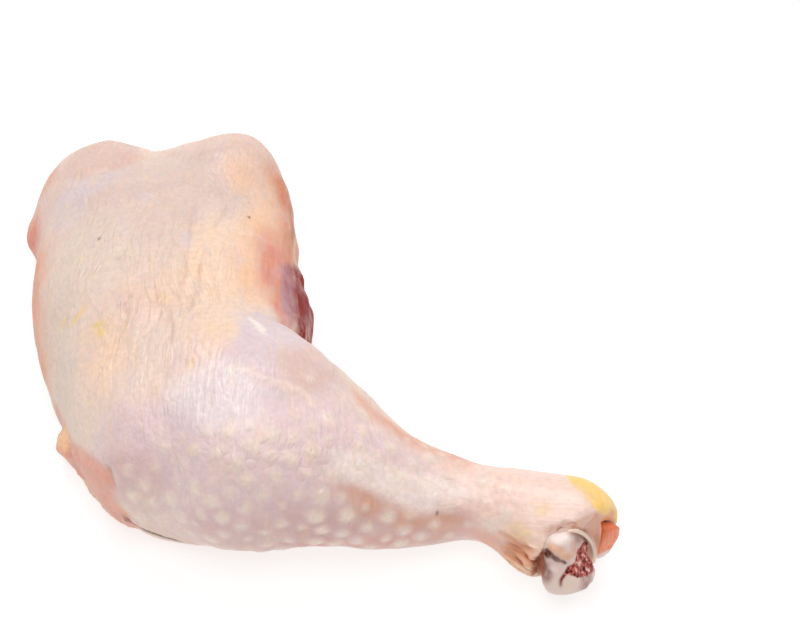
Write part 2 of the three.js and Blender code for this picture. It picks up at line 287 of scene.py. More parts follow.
skin = {
    "voxel": 1.19,  # mm, halved where the skin shows and halved again round the cut at the hock
    "softening": 7,
    "spacing": 4.9,  # mm between the bumps where feathers grew
    "bumpWidth": 3.0,  # mm, radius
    "bumpHeight": 0.42,  # mm
    "bumpSizes": (0.6, 1.25),  # least and greatest share of width and height
    "seed": 11,
    # Waves of the surface: cell and height in mm, seed, and whether they fade at the hock
    "waves": [(13, 0.45, 1, True), (5.5, 0.26, 2, True), (2.6, 0.08, 3, False)],
    "tautFrom": 78,  # mm along x, where the skin starts to lie tight on the shank
    "tautOver": 14,
    "hockCorner": (95.5, -21.0, 0.0),  # right and in front of here the mesh is finest
    "raggedCell": 6,  # mm, how the borders of the colours wander
    "ragged": 1.3,
}

# Soft areas of colour: middle, half sizes, turn and strength.
# Red muscle shows mauve through the drumstick's skin
spots = {
    "greyTop": [
        (6, 82, 31, 34, 16, 14, 0, 0.9),
        (-6, 66, 34, 18, 14, 10, 0, 0.6),
        (10, 58, 36, 12, 12, 8, 0, 0.4),
    ],
    "greyGreen": [
        (-20, 42, 28, 8, 26, 12, 0, 0.7),
        (-17, 18, 23, 6, 10, 10, 0, 0.6),
        (-8, 52, 36, 9, 18, 10, 0, 0.5),
    ],
    "flankPink": [
        (46, 7, 42, 9, 13, 10, -35, 0.9),
    ],
    "pink": [
        (24, 98, 24, 16, 9, 14, 0, 0.6),
        (-25, 84, 20, 6, 12, 12, 0, 0.5),
        (2, 30, 40, 12, 9, 8, 0, 0.45),
    ],
    "peach": [
        (-6, 16, 35, 8, 12, 10, 0, 0.8),
        (21, 44, 38, 10, 22, 12, 0, 0.8),
        (22, 16, 45, 8, 12, 10, 0, 0.7),
        (8, 34, 41, 9, 10, 6, 0, 0.4),
        (73, -8, 27, 12, 6, 7, -12, 0.6),
        (74, 6, 10, 16, 8, 9, -12, 0.5),
        (20, 104, 10, 14, 8, 8, 0, 0.4),
    ],
    "apricot": [
        (27, 85, 28, 8, 7, 9, -15, 0.5),
        (34, 66, 27, 6, 18, 12, 0, 0.8),
        (30, 44, 33, 5, 12, 8, 0, 0.6),
        (30, 52, 33, 6, 26, 9, 0, 0.6),
    ],
    "foldTan": [
        (97, -29, 13, 10, 5, 7, 0, 1.0),
    ],
    "mauve": [
        (14, -12, 36, 22, 13, 18, 0, 0.9),
        (38, -4, 44, 26, 14, 26, -20, 0.9),
        (40, -22, 26, 40, 14, 22, 0, 0.9),
        (66, -14, 26, 24, 12, 20, -15, 0.8),
        (37, 18, 40, 8, 10, 12, 0, 0.8),
        (0, -8, 30, 10, 10, 14, 0, 0.6),
        (56, 14, 14, 14, 9, 12, -20, 0.5),
    ],
    "deepMauve": [
        (44, -27, 22, 36, 8, 10, 4, 0.75),
        (74, -22, 17, 18, 8, 9, 0, 0.6),
        (4, -14, 26, 10, 8, 9, 0, 0.5),
    ],
    "lilac": [
        (-13, 80, 30, 8, 4, 8, 20, 0.5),
        (-20, 74, 27, 5, 9, 9, 0, 0.6),
        (1.5, 71, 33.6, 2.6, 2.2, 5, 0, 0.5),
        (13, 54, 37, 1.8, 4, 5, 0, 0.5),
        (34, 20, 44, 9, 5, 8, -30, 0.5),
        (22, -6, 43, 14, 6, 9, -10, 0.5),
        (58, -18, 34, 9, 4, 6, -12, 0.5),
    ],
    "shankCream": [
        (92, -16, 22, 16, 12, 14, -15, 0.9),
        (105, -20, 20, 14, 14, 16, 0, 0.9),
    ],
    "salmon": [
        (44, 50, 9, 6, 22, 11, 0, 0.6),
        (35.6, 50, 29, 6, 15, 8, 0, 0.85),
        (38, 38, 28, 4, 8, 7, 0, 0.8),
        (-31, 78, 9, 6, 9, 8, 0, 1.0),
        (-29, 96, 14, 6, 10, 10, 0, 0.6),
        (60, -26, 14, 26, 4, 5, 4, 0.4),
        (90, -25.5, 12, 11, 4, 6, 0, 0.5),
        (-20.4, 18.6, 8.6, 1.6, 3.2, 3.4, 0, 0.5),
    ],
    "yellowFat": [
        (-12.7, 32.3, 33.8, 1.2, 2.6, 4, -35, 0.8),
        (-14.5, 30.5, 32.0, 1.0, 1.8, 4, -35, 0.8),
        (-8.1, 25.3, 37.0, 1.6, 1.4, 3, 0, 0.8),
        (-7.7, 22.9, 36.7, 1.2, 1.2, 3, 0, 0.7),
        (-18.0, 32.3, 28.6, 0.9, 2.2, 4, 0, 0.5),
        (17.4, -16.0, 39.4, 1.6, 1.0, 3, 0, 0.7),
        (17.3, 6.2, 45.8, 1.3, 1.6, 3, 0, 0.6),
        (8.0, 31, 41, 1.2, 2.4, 3, 0, 0.35),
        (103, -23, 25.4, 2.0, 1.6, 3, 0, 0.35),
        (97.5, -26.8, 20, 3.5, 1.6, 3, -10, 0.45),
    ],
    "fatLump": [
        (-17.8, 9.4, 10.6, 2.6, 3.6, 4.0, 0, 1.0),
    ],
    "calfGlint": [
        (33.2, 19.0, 44.2, 1.1, 5.2, 3.5, 20, 0.9),
    ],
    "crinkle": [
        (6, 38, 38, 28, 32, 26, 0, 1.0),
        (26, 66, 32, 12, 16, 12, 0, 0.7),
        (98, -20, 20, 14, 12, 14, 0, 0.5),
    ],
    "cuffShade": [
        (101.2, -31.4, 14.6, 1.3, 1.6, 3.2, 0, 0.85),
        (102.0, -31.6, 10.0, 1.2, 1.4, 2.4, 0, 0.8),
    ],
    "pore": [
        (-10.2, 56.4, 35, 0.5, 0.5, 2, 0, 1.0),
        (28.2, 67.7, 30.6, 0.45, 0.45, 2, 0, 1.0),
        (77.1, -20.8, 20.1, 0.4, 0.4, 2, 0, 0.7),
    ],
}

# Bands of colour along a line: its points, half width in mm and strength
bands = {
    "rightOrange": [
        ([(32, 97, 21), (34.9, 90.5, 20.3), (36.6, 86.5, 18.3), (38.2, 79, 19), (39.3, 70.6, 21),
          (39.2, 63.3, 23), (38.6, 56.9, 25), (37.4, 51.3, 27), (36.4, 44.8, 29)], 6.0, 1.0),
        ([(37, 92, 11), (41, 79, 10), (43.3, 68, 10), (45, 55, 8)], 6.0, 0.8),
    ],
    "leftPeach": [
        ([(-29.5, 71, 13), (-28.7, 65, 14), (-27.4, 50.9, 16), (-27.0, 39.2, 14), (-25.6, 31, 10),
          (-23, 23.9, 7)], 9.0, 0.9),
        ([(-26, 72, 3), (-25, 62, 3), (-23, 50, 3), (-21, 34, 2), (-17, 20, 1)], 10.0, 0.6),
    ],
    "edgeSalmon": [
        ([(54.3, 6.3, 35.9), (57.3, 4.4, 34.2), (62.3, 0.2, 33), (68.8, -2.6, 28), (74.8, -4, 24),
          (81.8, -5.6, 21.4), (88, -7.2, 19.4)], 3.4, 0.75),
    ],
    "shankBrown": [
        ([(51, -22, 34.4), (55.9, -22.8, 31), (60.7, -23.2, 27.5), (65.6, -23, 23.9), (70.5, -22.6, 20.5),
          (75.9, -22.1, 18.2), (81.6, -21.3, 17.8), (88, -22, 16)], 3.2, 0.8),
    ],
    "edgeShade": [
        ([(36.1, 91, 17.8), (37.2, 87.4, 15.7), (38.8, 81.3, 15.8), (40.2, 72.2, 18.8), (40.9, 65.9, 20.2),
          (41.2, 61.7, 20.6)], 2.0, 0.5),
    ],
    "cuffEdge": [
        ([(101.6, -31, 16.6), (102.4, -30.6, 18.6), (103.4, -29.6, 20.9), (104.9, -28.8, 22.4),
          (107.6, -27.9, 23.6), (110.8, -26.8, 23.9), (113, -25.4, 24)], 0.55, 0.9),
    ],
    "rollRim": [
        ([(-13, 2.4, 2.5), (-11.2, -0.2, 2.6), (-8.4, -4, 2.6), (-5.1, -8.3, 2.5), (-1.9, -11, 2.3)],
         1.4, 0.9),
    ],
    "fold": [
        ([(22.9, 1.1, 47.1), (27.1, 1.2, 48), (30.3, 1.0, 48.4), (35.9, -0.5, 47.8), (43, -2.2, 46),
          (47, -3.6, 44.3)], 1.1, 0.7),
    ],
}

# Fine creases in the skin: points, depth and half width in mm, and how dark the painted shade in them is
creases = [
    ([(5.7, 35.6, 40.9), (6.8, 32.4, 41.1), (6.4, 28.3, 41.3)], 0.3, 0.5, 0.2),
    ([(12.4, 49, 38.5), (13.5, 40.5, 39.9), (12.7, 35.9, 40.5), (11.9, 29, 41.2)], 0.3, 0.45, 0.22),
    ([(17.0, 46, 38.8), (16.7, 37.4, 39.9), (16.4, 32.9, 40.5), (15.4, 25, 42.3)], 0.3, 0.45, 0.22),
    ([(-5.0, -11.5, 26.1), (-3.6, -13.1, 26.2), (-3.0, -14.8, 23.1)], 0.6, 1.0, 0.35),
    ([(-4.8, 48.6, 36.9), (-3.1, 43.5, 38.0), (-2.0, 40.8, 38.7)], 0.3, 0.5, 0.2),
    ([(9.6, 27.5, 41.6), (11.3, 19.3, 43.4), (11.6, 13, 44.4)], 0.3, 0.5, 0.25),
    ([(0.4, 32.8, 40.7), (-1.7, 28.8, 40.3), (-0.7, 26.3, 40.4)], 0.3, 0.5, 0.25),
    ([(14.3, 70.5, 33.4), (13.6, 61.8, 35.2), (13.2, 54.5, 36.9)], 0.3, 0.6, 0.15),
    ([(23.6, 72, 31.2), (21.3, 66.1, 33.2), (19.6, 59.6, 35.0)], 0.3, 0.6, 0.2),
]

# Folds of loose skin in front of the bone: points, depth and half width in mm, and how dark the painted shade
# in them is
hockFolds = [
    ([(91.5, -24.0, 17.4), (95, -27.0, 18.2), (97.6, -28.8, 18.8), (100.2, -30.2, 18.0)], 0.5, 0.55, 0.6),
    ([(91, -25.5, 15.4), (95, -28.0, 16.0), (97.6, -29.6, 15.9), (100, -30.7, 14.8), (102.2, -31.2, 12.6)],
     0.7, 0.6, 0.9),
    ([(92, -26.8, 12.8), (95.4, -28.8, 13.2), (98, -30.3, 12.4), (100.2, -31.1, 11.0), (101.8, -31, 8.6)],
     0.8, 0.65, 1.0),
    ([(94, -28, 10.2), (97, -29.8, 9.8), (99.4, -30.8, 8.4), (101, -30.6, 5.6)], 0.7, 0.6, 1.0),
]

# Where feathers grew, the follicles stand up in bumps
featherSpots = [
    (34, -21, 26, 38, 20, 24, 0, 1.0),
    (74, -17, 22, 24, 15, 16, -15, 0.9),
    (50, 0, 40, 16, 10, 14, -30, 0.35),
]

# Fine wrinkles: area, cell across, along and through the grain in mm, height in mm
wrinkles = [
    ((4, 40, 38, 32, 42, 24, 0, 1.0), (2.9, 16, 16), 0.14),
    ((2, 36, 38, 32, 36, 24, 0, 1.0), (1.6, 7, 7), 0.06),
    ((26, 1, 44, 32, 14, 16, -8, 1.0), (1.7, 7, 7), 0.08),
    ((30, 50, 33, 9, 24, 12, 0, 1.0), (12, 2.1, 12), 0.14),
    ((26, 75, 29, 8, 10, 8, 0, 1.0), (9, 2.0, 9), 0.14),
    ((84, -12, 24, 28, 10, 12, -13, 1.0), (3.2, 14, 6), 0.06),
    ((42, -26, 22, 44, 9, 14, 0, 1.0), (4.5, 14, 3.0), 0.16),
]

# Loose folds in front of the bone, with finer ones between them
looseFolds = {"area": (99, -31, 12, 11, 6, 10, 0, 1.0), "cell": (9, 16, 1.9), "height": 0.6, "seed": 46,
              "fineCell": (4, 8, 0.9), "fineHeight": 0.28}

# Lines on the skin, as picked points, with the sizes of what runs along them in mm
hipCrease = {
    "line": [(-1.2, 98, 21), (-1.9, 94.2, 26.4), (-4.4, 92.5, 27.3), (-6.6, 89.8, 28.6),
             (-10.2, 85.3, 30.3), (-15.2, 83.7, 29.7), (-20, 84.5, 27.2), (-24, 87, 23)],
    "depth": 0.8, "half": 1.3, "wideDepth": 0.4, "wideHalf": 3.5,
    "rollHeight": 0.4, "rollAside": 4.5, "rollHalf": 3.2,
}
calfEdge = {
    "line": [(27.0, 24.5, 43.6), (30.3, 26.1, 40.8), (33.2, 27.4, 38.4), (36.3, 28.7, 35.0),
             (39.4, 31.5, 28.8), (42.2, 34.0, 22.6), (44.5, 33.0, 15)],
    "depth": 1.6, "half": 1.9,
}
skinEdge = {  # the free edge of the skin, which hangs over a gap
    "line": [(-0.8, -17.1, 14), (0.2, -17.2, 12), (3.2, -18.1, 10.2), (5.7, -18.6, 9.2),
             (10.6, -19.3, 7.6), (15.6, -20.4, 7.0), (20.8, -22.4, 7.6)],
    "lipHeight": 0.3, "lipAside": 0.8, "lipHalf": 1.6,
    "gapDepth": 0.9, "gapAside": 0.8, "gapHalf": 0.9,
}
fleshRoll = {"height": 0.5, "cell": (3.2, 9, 5), "seed": 47, "rimDepth": 0.5, "rimHalf": 0.22}
muscleFibres = {"height": 0.4, "cell": (1.7, 14, 14), "seed": 6, "slant": 0.9}

# Areas with a clearer border: outline, softness in mm, how thick a layer they are picked from
patches = {
    "frontLobe": ([(-23.2, 87.6, 24.2), (-23.2, 93.2, 23.1), (-14, 103, 18), (-3, 102, 18), (-2.9, 96, 25.6),
                   (-4.4, 92.5, 27.3), (-6.6, 89.8, 28.6), (-10.2, 85.3, 30.3), (-15.2, 83.7, 29.7),
                   (-20, 84.5, 27.2)], 2.2, 9),
    "flesh": ([(-20, 15, 8.5), (-17.5, 9, 12.5), (-15.1, 3.4, 16.3), (-12.6, -1.3, 20), (-10.4, -4.8, 22.0),
               (-8.4, -7.5, 23.8), (-6.1, -10.4, 25.2), (-4.4, -12.2, 25.6), (-3.4, -14.0, 24.5),
               (-2.8, -15.1, 22.5), (-1.6, -16.8, 18), (0.2, -17.4, 12.4), (1.4, -17.0, 8), (-2, -12, -3),
               (-8, -4, -3), (-14, 4, -3), (-20, 14, -3)], 2.0, 9),
    "calfLilac": ([(31.5, 29.5, 39.3), (29, 18.8, 44.9), (27.5, 10.1, 47.6), (24.5, 1.1, 47.1), (29, -7, 46),
                   (44, -6, 46), (54, 2, 38), (50, 16, 32), (44, 32, 28), (37, 31, 36)], 1.3, 9),
    # A painted highlight, streaked where the wet skin of the calf mirrors the top light
    "calfShine": ([(11.2, 1.6, 42.5), (15, 5, 44.4), (22, 5, 46.6), (30, 1.5, 47.8), (35, -6.7, 47),
                   (37, -12.5, 44.6), (29.5, -14.5, 44.6), (19.7, -12.8, 43.1), (13.9, -6, 41.1)], 3.0, 9),
    # A painted highlight along the wet top of the shank
    "shinHighlight": ([(51.1, -16.5, 38.8), (58.3, -14.5, 36), (68, -13.5, 30), (80, -13.5, 24.5),
                  (86, -16, 22.5), (80.3, -18.8, 21.5), (75.4, -21.2, 20.2), (66.8, -21.6, 24.9),
                  (58.3, -21.6, 31.1), (52.3, -20.5, 35.3)], 2.2, 8),
    "muscleHaze": ([(37.2, 52.5, 27.6), (39.1, 57.9, 24.7), (40.9, 57.8, 22.3), (42.2, 53.2, 20.5),
                    (42.8, 48.5, 19.5), (42.0, 40.8, 22.1), (40.2, 35.7, 25.8), (38.2, 37.6, 28.3),
                    (37.0, 43.1, 29.0)], 2.0, 5),
    "muscle": ([(40.9, 57.4, 22.4), (40.9, 48.5, 23.4), (41.6, 39.3, 23.1), (42.3, 36.5, 21.7),
                (43, 34, 19), (44.2, 32, 13), (44.8, 36, 6.5), (45, 42, 2), (45, 50, 1), (44.8, 58, 3),
                (44.3, 64, 7.5), (43.4, 66, 12), (42.5, 64, 17), (41.6, 60.4, 20.6)], 1.9, 8),
}

# Shallow swells and hollows: place, half sizes, turn and height in mm
swells = [
    (41, 63, 20, 7, 16, 11, 0, -1.0),
    (43.5, 64, 11, 7, 10, 14, 0, -2.4),
    (42.5, 75, 8, 7, 9, 10, 0, -1.3),
    (37, 88, 17, 5, 6, 9, 0, 1.0),
    (8.5, 97.5, 22, 7, 5, 7, 0, 0.9),
    (20, 97, 26, 9, 6, 8, 0, -0.6),
    (-17.8, 9.4, 10.6, 2.6, 4.0, 4.4, 0, 0.6),
    (105.6, -29.0, 22.2, 2.6, 2.2, 2.2, 0, -1.7),
    (108.6, -28.4, 23.2, 2.4, 2.2, 2.2, 0, -1.7),
    (101.0, -31.0, 12.5, 2.8, 2.4, 5.5, 0, 0.9),
]

# The yellow scaly skin at the heel: planes that bound it, as point, direction inwards and softness in mm
heelPlanes = [((109.6, -14, 24), (0.98, 0.2, 0), 0.35), ((112.6, -19.4, 26.2), (0.72, 0.62, -0.3), 1.3),
              ((117.2, -23.2, 23.6), (0.5, 0.7, 0.5), 0.5), ((118, -14, 9), (0, 0, 1), 0.5)]

# Raw face of the cut round the bone, browner towards the bone, with an orange tongue over the tendon
hockCut = {
    "place": (109.0, -28.9, 24.7),
    "facing": (0.543, -0.833, -0.103),
    "darkBelow": 110.5,  # mm along x
    "tongue": (119.6, -21.6, 18.6, 2.6, 3.0, 2.6, 0, 1.0),
}


def planesMask(points, planes):
    mask = np.ones(len(points))
    for place, direction, soft in planes:
        unit = np.asarray(direction, float) / np.linalg.norm(direction)
        mask *= smoothStep(0.5 + (points - place) @ unit / (2 * soft))
    return mask


# Across, along and through the grain of the skin in mm: down the thigh, turning to run along the drumstick
def grainPlaces(points):
    p = points - (67, -12, 25)
    turned = smoothStep((points[:, 0] - 50) / 34)[:, None]
    a = math.radians(-13)
    shank = np.column_stack([math.cos(a) * p[:, 1] - math.sin(a) * p[:, 0],
                             math.cos(a) * p[:, 0] + math.sin(a) * p[:, 1], p[:, 2]])
    drift = np.column_stack([valueNoise(points, 14, seed) for seed in (21, 22, 23)]) * (2.2, 4.0, 1.5)
    return p * (1 - turned) + shank * turned + drift


def subdivideWhere(made, chosen, softening):
    edit = bmesh.new()
    edit.from_mesh(made.data)
    edit.normal_update()
    edges = list({e for f in edit.faces if chosen(f) for e in f.edges})
    bmesh.ops.subdivide_edges(edit, edges=edges, cuts=1, use_grid_fill=True)
    bmesh.ops.triangulate(edit, faces=[f for f in edit.faces if len(f.verts) > 4])
    edit.to_mesh(made.data)
    edit.free()
    soften = made.modifiers.new("soft", "SMOOTH")
    soften.factor = 0.5
    soften.iterations = softening
    return bakeModifiers(made)


def tautness(points):
    return smoothStep((points[:, 0] - skin["tautFrom"]) / skin["tautOver"])


# Crests of the loose folds before the hock, at two scales
def looseCrests(grain):
    cells = (looseFolds["cell"], looseFolds["fineCell"])
    return [ridges(grain, cell, looseFolds["seed"] + i) for i, cell in enumerate(cells)]


def skinRelief(points, grain, normals):
    up = np.zeros(len(points))
    beforeHock = smoothStep((100 - points[:, 0]) / 12)
    for cell, height, seed, fades in skin["waves"]:
        up += height * valueNoise(points, cell, seed) * (beforeHock if fades else 1)
    for seed, (area, cell, height) in enumerate(wrinkles, 40):
        up += height * spotMask(points, [area]) * ridges(grain, cell, seed)
    up *= 1 - 0.6 * tautness(points) * smoothStep((points[:, 2] - 16) / 5)
    broad, fine = looseCrests(grain)
    crests = looseFolds["height"] * broad + looseFolds["fineHeight"] * fine
    up += spotMask(points, [looseFolds["area"]]) * crests
    for area in swells:
        up += area[-1] * spotMask(points, [(*area[:-1], 1.0)])

    hip = hipCrease
    d, t, side = nearPath(points, smoothPath(hip["line"]), 12, normals)
    fade = np.clip((1 - t) * 1.6, 0, 1)
    up -= fade * (hip["depth"] * bell(d, hip["half"]) + hip["wideDepth"] * bell(d, hip["wideHalf"]))
    up += hip["rollHeight"] * fade * bell(side + hip["rollAside"], hip["rollHalf"]) * (d < 12)
    d, t, side = nearPath(points, smoothPath(calfEdge["line"]), 10)
    up -= calfEdge["depth"] * smoothStep(t * 2.2) * bell(d, calfEdge["half"])

    # The skin runs out over a roll of flesh, and its free edge hangs over a gap at the bottom
    outline, soft, reach = patches["flesh"]
    inside = patchMask(points, outline, 2 * soft, reach)
    roll = fleshRoll
    up += roll["height"] * inside * ridges(grain, roll["cell"], roll["seed"])
    up -= roll["rimDepth"] * bell(inside - 0.5, roll["rimHalf"])
    d, t, side = nearPath(points, smoothPath(skinEdge["line"]), 6, normals)
    lip = skinEdge["lipHeight"] * bell(side - skinEdge["lipAside"], skinEdge["lipHalf"])
    gap = skinEdge["gapDepth"] * bell(side + skinEdge["gapAside"], skinEdge["gapHalf"])
    up += endFade(t, 8) * (lip - gap) * (d < 6)

    for path, depth, half, shadeDarkness in creases + hockFolds:
        up -= depth * bandMask(points, path, half)
    up += 0.35 * bandMask(points, bands["fold"][0][0], 1.3)
    fibres = np.maximum(patchMask(points, *patches["muscle"]), patchMask(points, *patches["muscleHaze"]))
    slanted = points + points[:, 2:] * (muscleFibres["slant"], 0, 0)
    up += muscleFibres["height"] * fibres * ridges(slanted, muscleFibres["cell"], muscleFibres["seed"])
    return up * smoothStep(points[:, 2] / 4)


def writeSkinMasks(mesh, points, grain, normals):
    # Uneven borders: the masks are read at slightly shifted places
    drift = np.column_stack([valueNoise(points, skin["raggedCell"], seed) for seed in (31, 32, 33)])
    shifted = points + skin["ragged"] * drift
    for name, listed in spots.items():
        writeMask(mesh, name, spotMask(points if name == "pore" else shifted, listed))
    for name, listed in bands.items():
        lines = [strength * bandMask(shifted, path, half) for path, half, strength in listed]
        writeMask(mesh, name, np.max(lines, axis=0))
    # Painted shade along the creases and the folds before the hock, as dark as listed
    for name, listed in (("creaseShade", creases), ("hockFoldShade", hockFolds)):
        lines = [shadeDarkness * bandMask(points, path, 1.2 * half) for path, depth, half, shadeDarkness in listed]
        writeMask(mesh, name, np.max(lines, axis=0))
    # Fewer feather bumps under the painted highlight on the shank
    shinHighlightMask = patchMask(shifted, *patches["shinHighlight"])
    tract = smoothStep(1.7 * spotMask(points, featherSpots)) * (1 - 0.85 * shinHighlightMask)
    writeMask(mesh, "featherTract", tract * smoothStep((points[:, 2] - 4) / 8))
    broad, fine = looseCrests(grain)
    crest = 0.7 * broad + 0.3 * fine
    loose = spotMask(points, [looseFolds["area"]])
    # Painted shade, orange-brown, in the valleys of the loose folds; paler skin on their crests
    writeMask(mesh, "foldValleyShade", smoothStep(0.1 - 0.9 * crest) * loose)
    writeMask(mesh, "foldCrest", smoothStep(1.6 * crest - 0.5) * loose)
    writeMask(mesh, "calm", tautness(points))

    # The gap below the free edge of the skin lies in shade
    d, t, side = nearPath(points, smoothPath(skinEdge["line"]), 6, normals)
    shade = smoothStep((0.1 - side) / 0.6) * smoothStep((side + 2.6) / 1.2) * (d < 6)
    writeMask(mesh, "lapShade", shade * endFade(t, 5))

    # Flesh shows on the underside too
    for name, (outline, soft, reach) in patches.items():
        mask = patchMask(shifted, outline, soft, reach)
        if name == "flesh":
            under = smoothStep((3.5 - points[:, 2]) / 3) * smoothStep((60 - points[:, 0]) / 20)
            mask = np.maximum(mask, 0.8 * under)
        writeMask(mesh, name, mask)
    writeMask(mesh, "yellowScale", planesMask(shifted * 0.35 + points * 0.65, heelPlanes))
    facing = np.array(hockCut["facing"]) / np.linalg.norm(hockCut["facing"])
    cut = smoothStep(((points - hockCut["place"]) @ facing + 1.1) / 0.7)
    writeMask(mesh, "cutFace", cut)
    writeMask(mesh, "cutDark", cut * smoothStep((hockCut["darkBelow"] - points[:, 0]) / 2.5))
    writeMask(mesh, "tongue", spotMask(points, [hockCut["tongue"]]))


def makeSkin():
    made = refine(mergedCopy("leg", "skinAndFlesh"), 2, skin["voxel"], skin["softening"])
    subdivideWhere(made, lambda face: face.normal.z > 0.45 * face.normal.y + 0.05, 2)
    hockCorner = toFrame(skin["hockCorner"])

    def atHock(face):
        middle = face.calc_center_median()
        shown = face.normal.z > 0.2 * face.normal.y or face.normal.x > 0.5
        return shown and middle.x > hockCorner[0] and middle.y < hockCorner[1]

    subdivideWhere(made, atHock, 1)
    mesh = made.data
    points = readPoints(mesh)
    grain = grainPlaces(points)
    normals = readNormals(mesh)
    points = points + skinRelief(points, grain, normals)[:, None] * normals
    points[:, 2] = np.maximum(points[:, 2], 0)
    writePoints(mesh, points)
    writePlaces(mesh, "grain", grain)
    writeSkinMasks(mesh, points, grain, normals)
    return made


def featherBumps():
    tree = bpy.data.node_groups.new("featherBumps", "GeometryNodeTree")
    face = tree.interface
    face.new_socket("Geometry", in_out="INPUT", socket_type="NodeSocketGeometry")
    for name in ("Spacing", "Bump Width", "Bump Height", "Least Size", "Greatest Size"):
        face.new_socket(name, in_out="INPUT", socket_type="NodeSocketFloat")
    face.new_socket("Seed", in_out="INPUT", socket_type="NodeSocketInt")
    face.new_socket("Material", in_out="INPUT", socket_type="NodeSocketMaterial")
    face.new_socket("Geometry", in_out="OUTPUT", socket_type="NodeSocketGeometry")
    nodes = tree.nodes
    given = nodes.new("NodeGroupInput").outputs
    tract = addNode(nodes, "GeometryNodeInputNamedAttribute",
                    {"data_type": "FLOAT", "Name": "featherTract"}, "Attribute")
    bumps = addNode(nodes, "GeometryNodeDistributePointsOnFaces", {
        "distribute_method": "POISSON", "Density Max": 2e6, "Mesh": given["Geometry"],
        "Distance Min": given["Spacing"], "Density Factor": tract, "Seed": given["Seed"]}, "Points")
    distance = addNode(nodes, "GeometryNodeProximity", {"target_element": "POINTS", "Geometry": bumps},
                       "Distance")
    nearest = addNode(nodes, "GeometryNodeSampleNearest", {"domain": "POINT", "Geometry": bumps})
    sizes = addNode(nodes, "FunctionNodeRandomValue", {  # 2 and 3 are the least and the greatest float
        "data_type": "FLOAT", 2: given["Least Size"], 3: given["Greatest Size"], "Seed": given["Seed"]}, 1)
    size = addNode(nodes, "GeometryNodeSampleIndex", {
        "data_type": "FLOAT", "domain": "POINT", "Geometry": bumps, "Value": sizes, "Index": nearest})
    width = addNode(nodes, "ShaderNodeMath", {"operation": "MULTIPLY", 0: size, 1: given["Bump Width"]})
    share = addNode(nodes, "ShaderNodeMath", {"operation": "DIVIDE", 0: distance, 1: width})
    crown = addNode(nodes, "ShaderNodeMapRange", {
        "interpolation_type": "SMOOTHSTEP", "From Min": 1.0, "From Max": 0.0, "Value": share})
    held = addNode(nodes, "ShaderNodeMath", {"operation": "MULTIPLY", 0: size, 1: tract})
    held = addNode(nodes, "ShaderNodeMath", {"operation": "MULTIPLY", 0: crown, 1: held})
    kept = addNode(nodes, "GeometryNodeStoreNamedAttribute", {
        "data_type": "FLOAT", "domain": "POINT", "Name": "follicle", "Geometry": given["Geometry"],
        "Value": held})
    lift = addNode(nodes, "ShaderNodeMath", {"operation": "MULTIPLY", 0: held, 1: given["Bump Height"]})
    normal = addNode(nodes, "GeometryNodeInputNormal")
    offset = addNode(nodes, "ShaderNodeVectorMath", {"operation": "SCALE", 0: normal, "Scale": lift})
    moved = addNode(nodes, "GeometryNodeSetPosition", {"Geometry": kept, "Offset": offset})
    realized = addNode(nodes, "GeometryNodeRealizeInstances", {"Geometry": moved})
    dressed = addNode(nodes, "GeometryNodeSetMaterial",
                      {"Geometry": realized, "Material": given["Material"]})
    addNode(nodes, "NodeGroupOutput", {"Geometry": dressed})
    return tree


def setInputs(modifier, values):
    for item in modifier.node_group.interface.items_tree:
        if item.in_out == "INPUT" and item.name in values:
            modifier[item.identifier] = values[item.name]


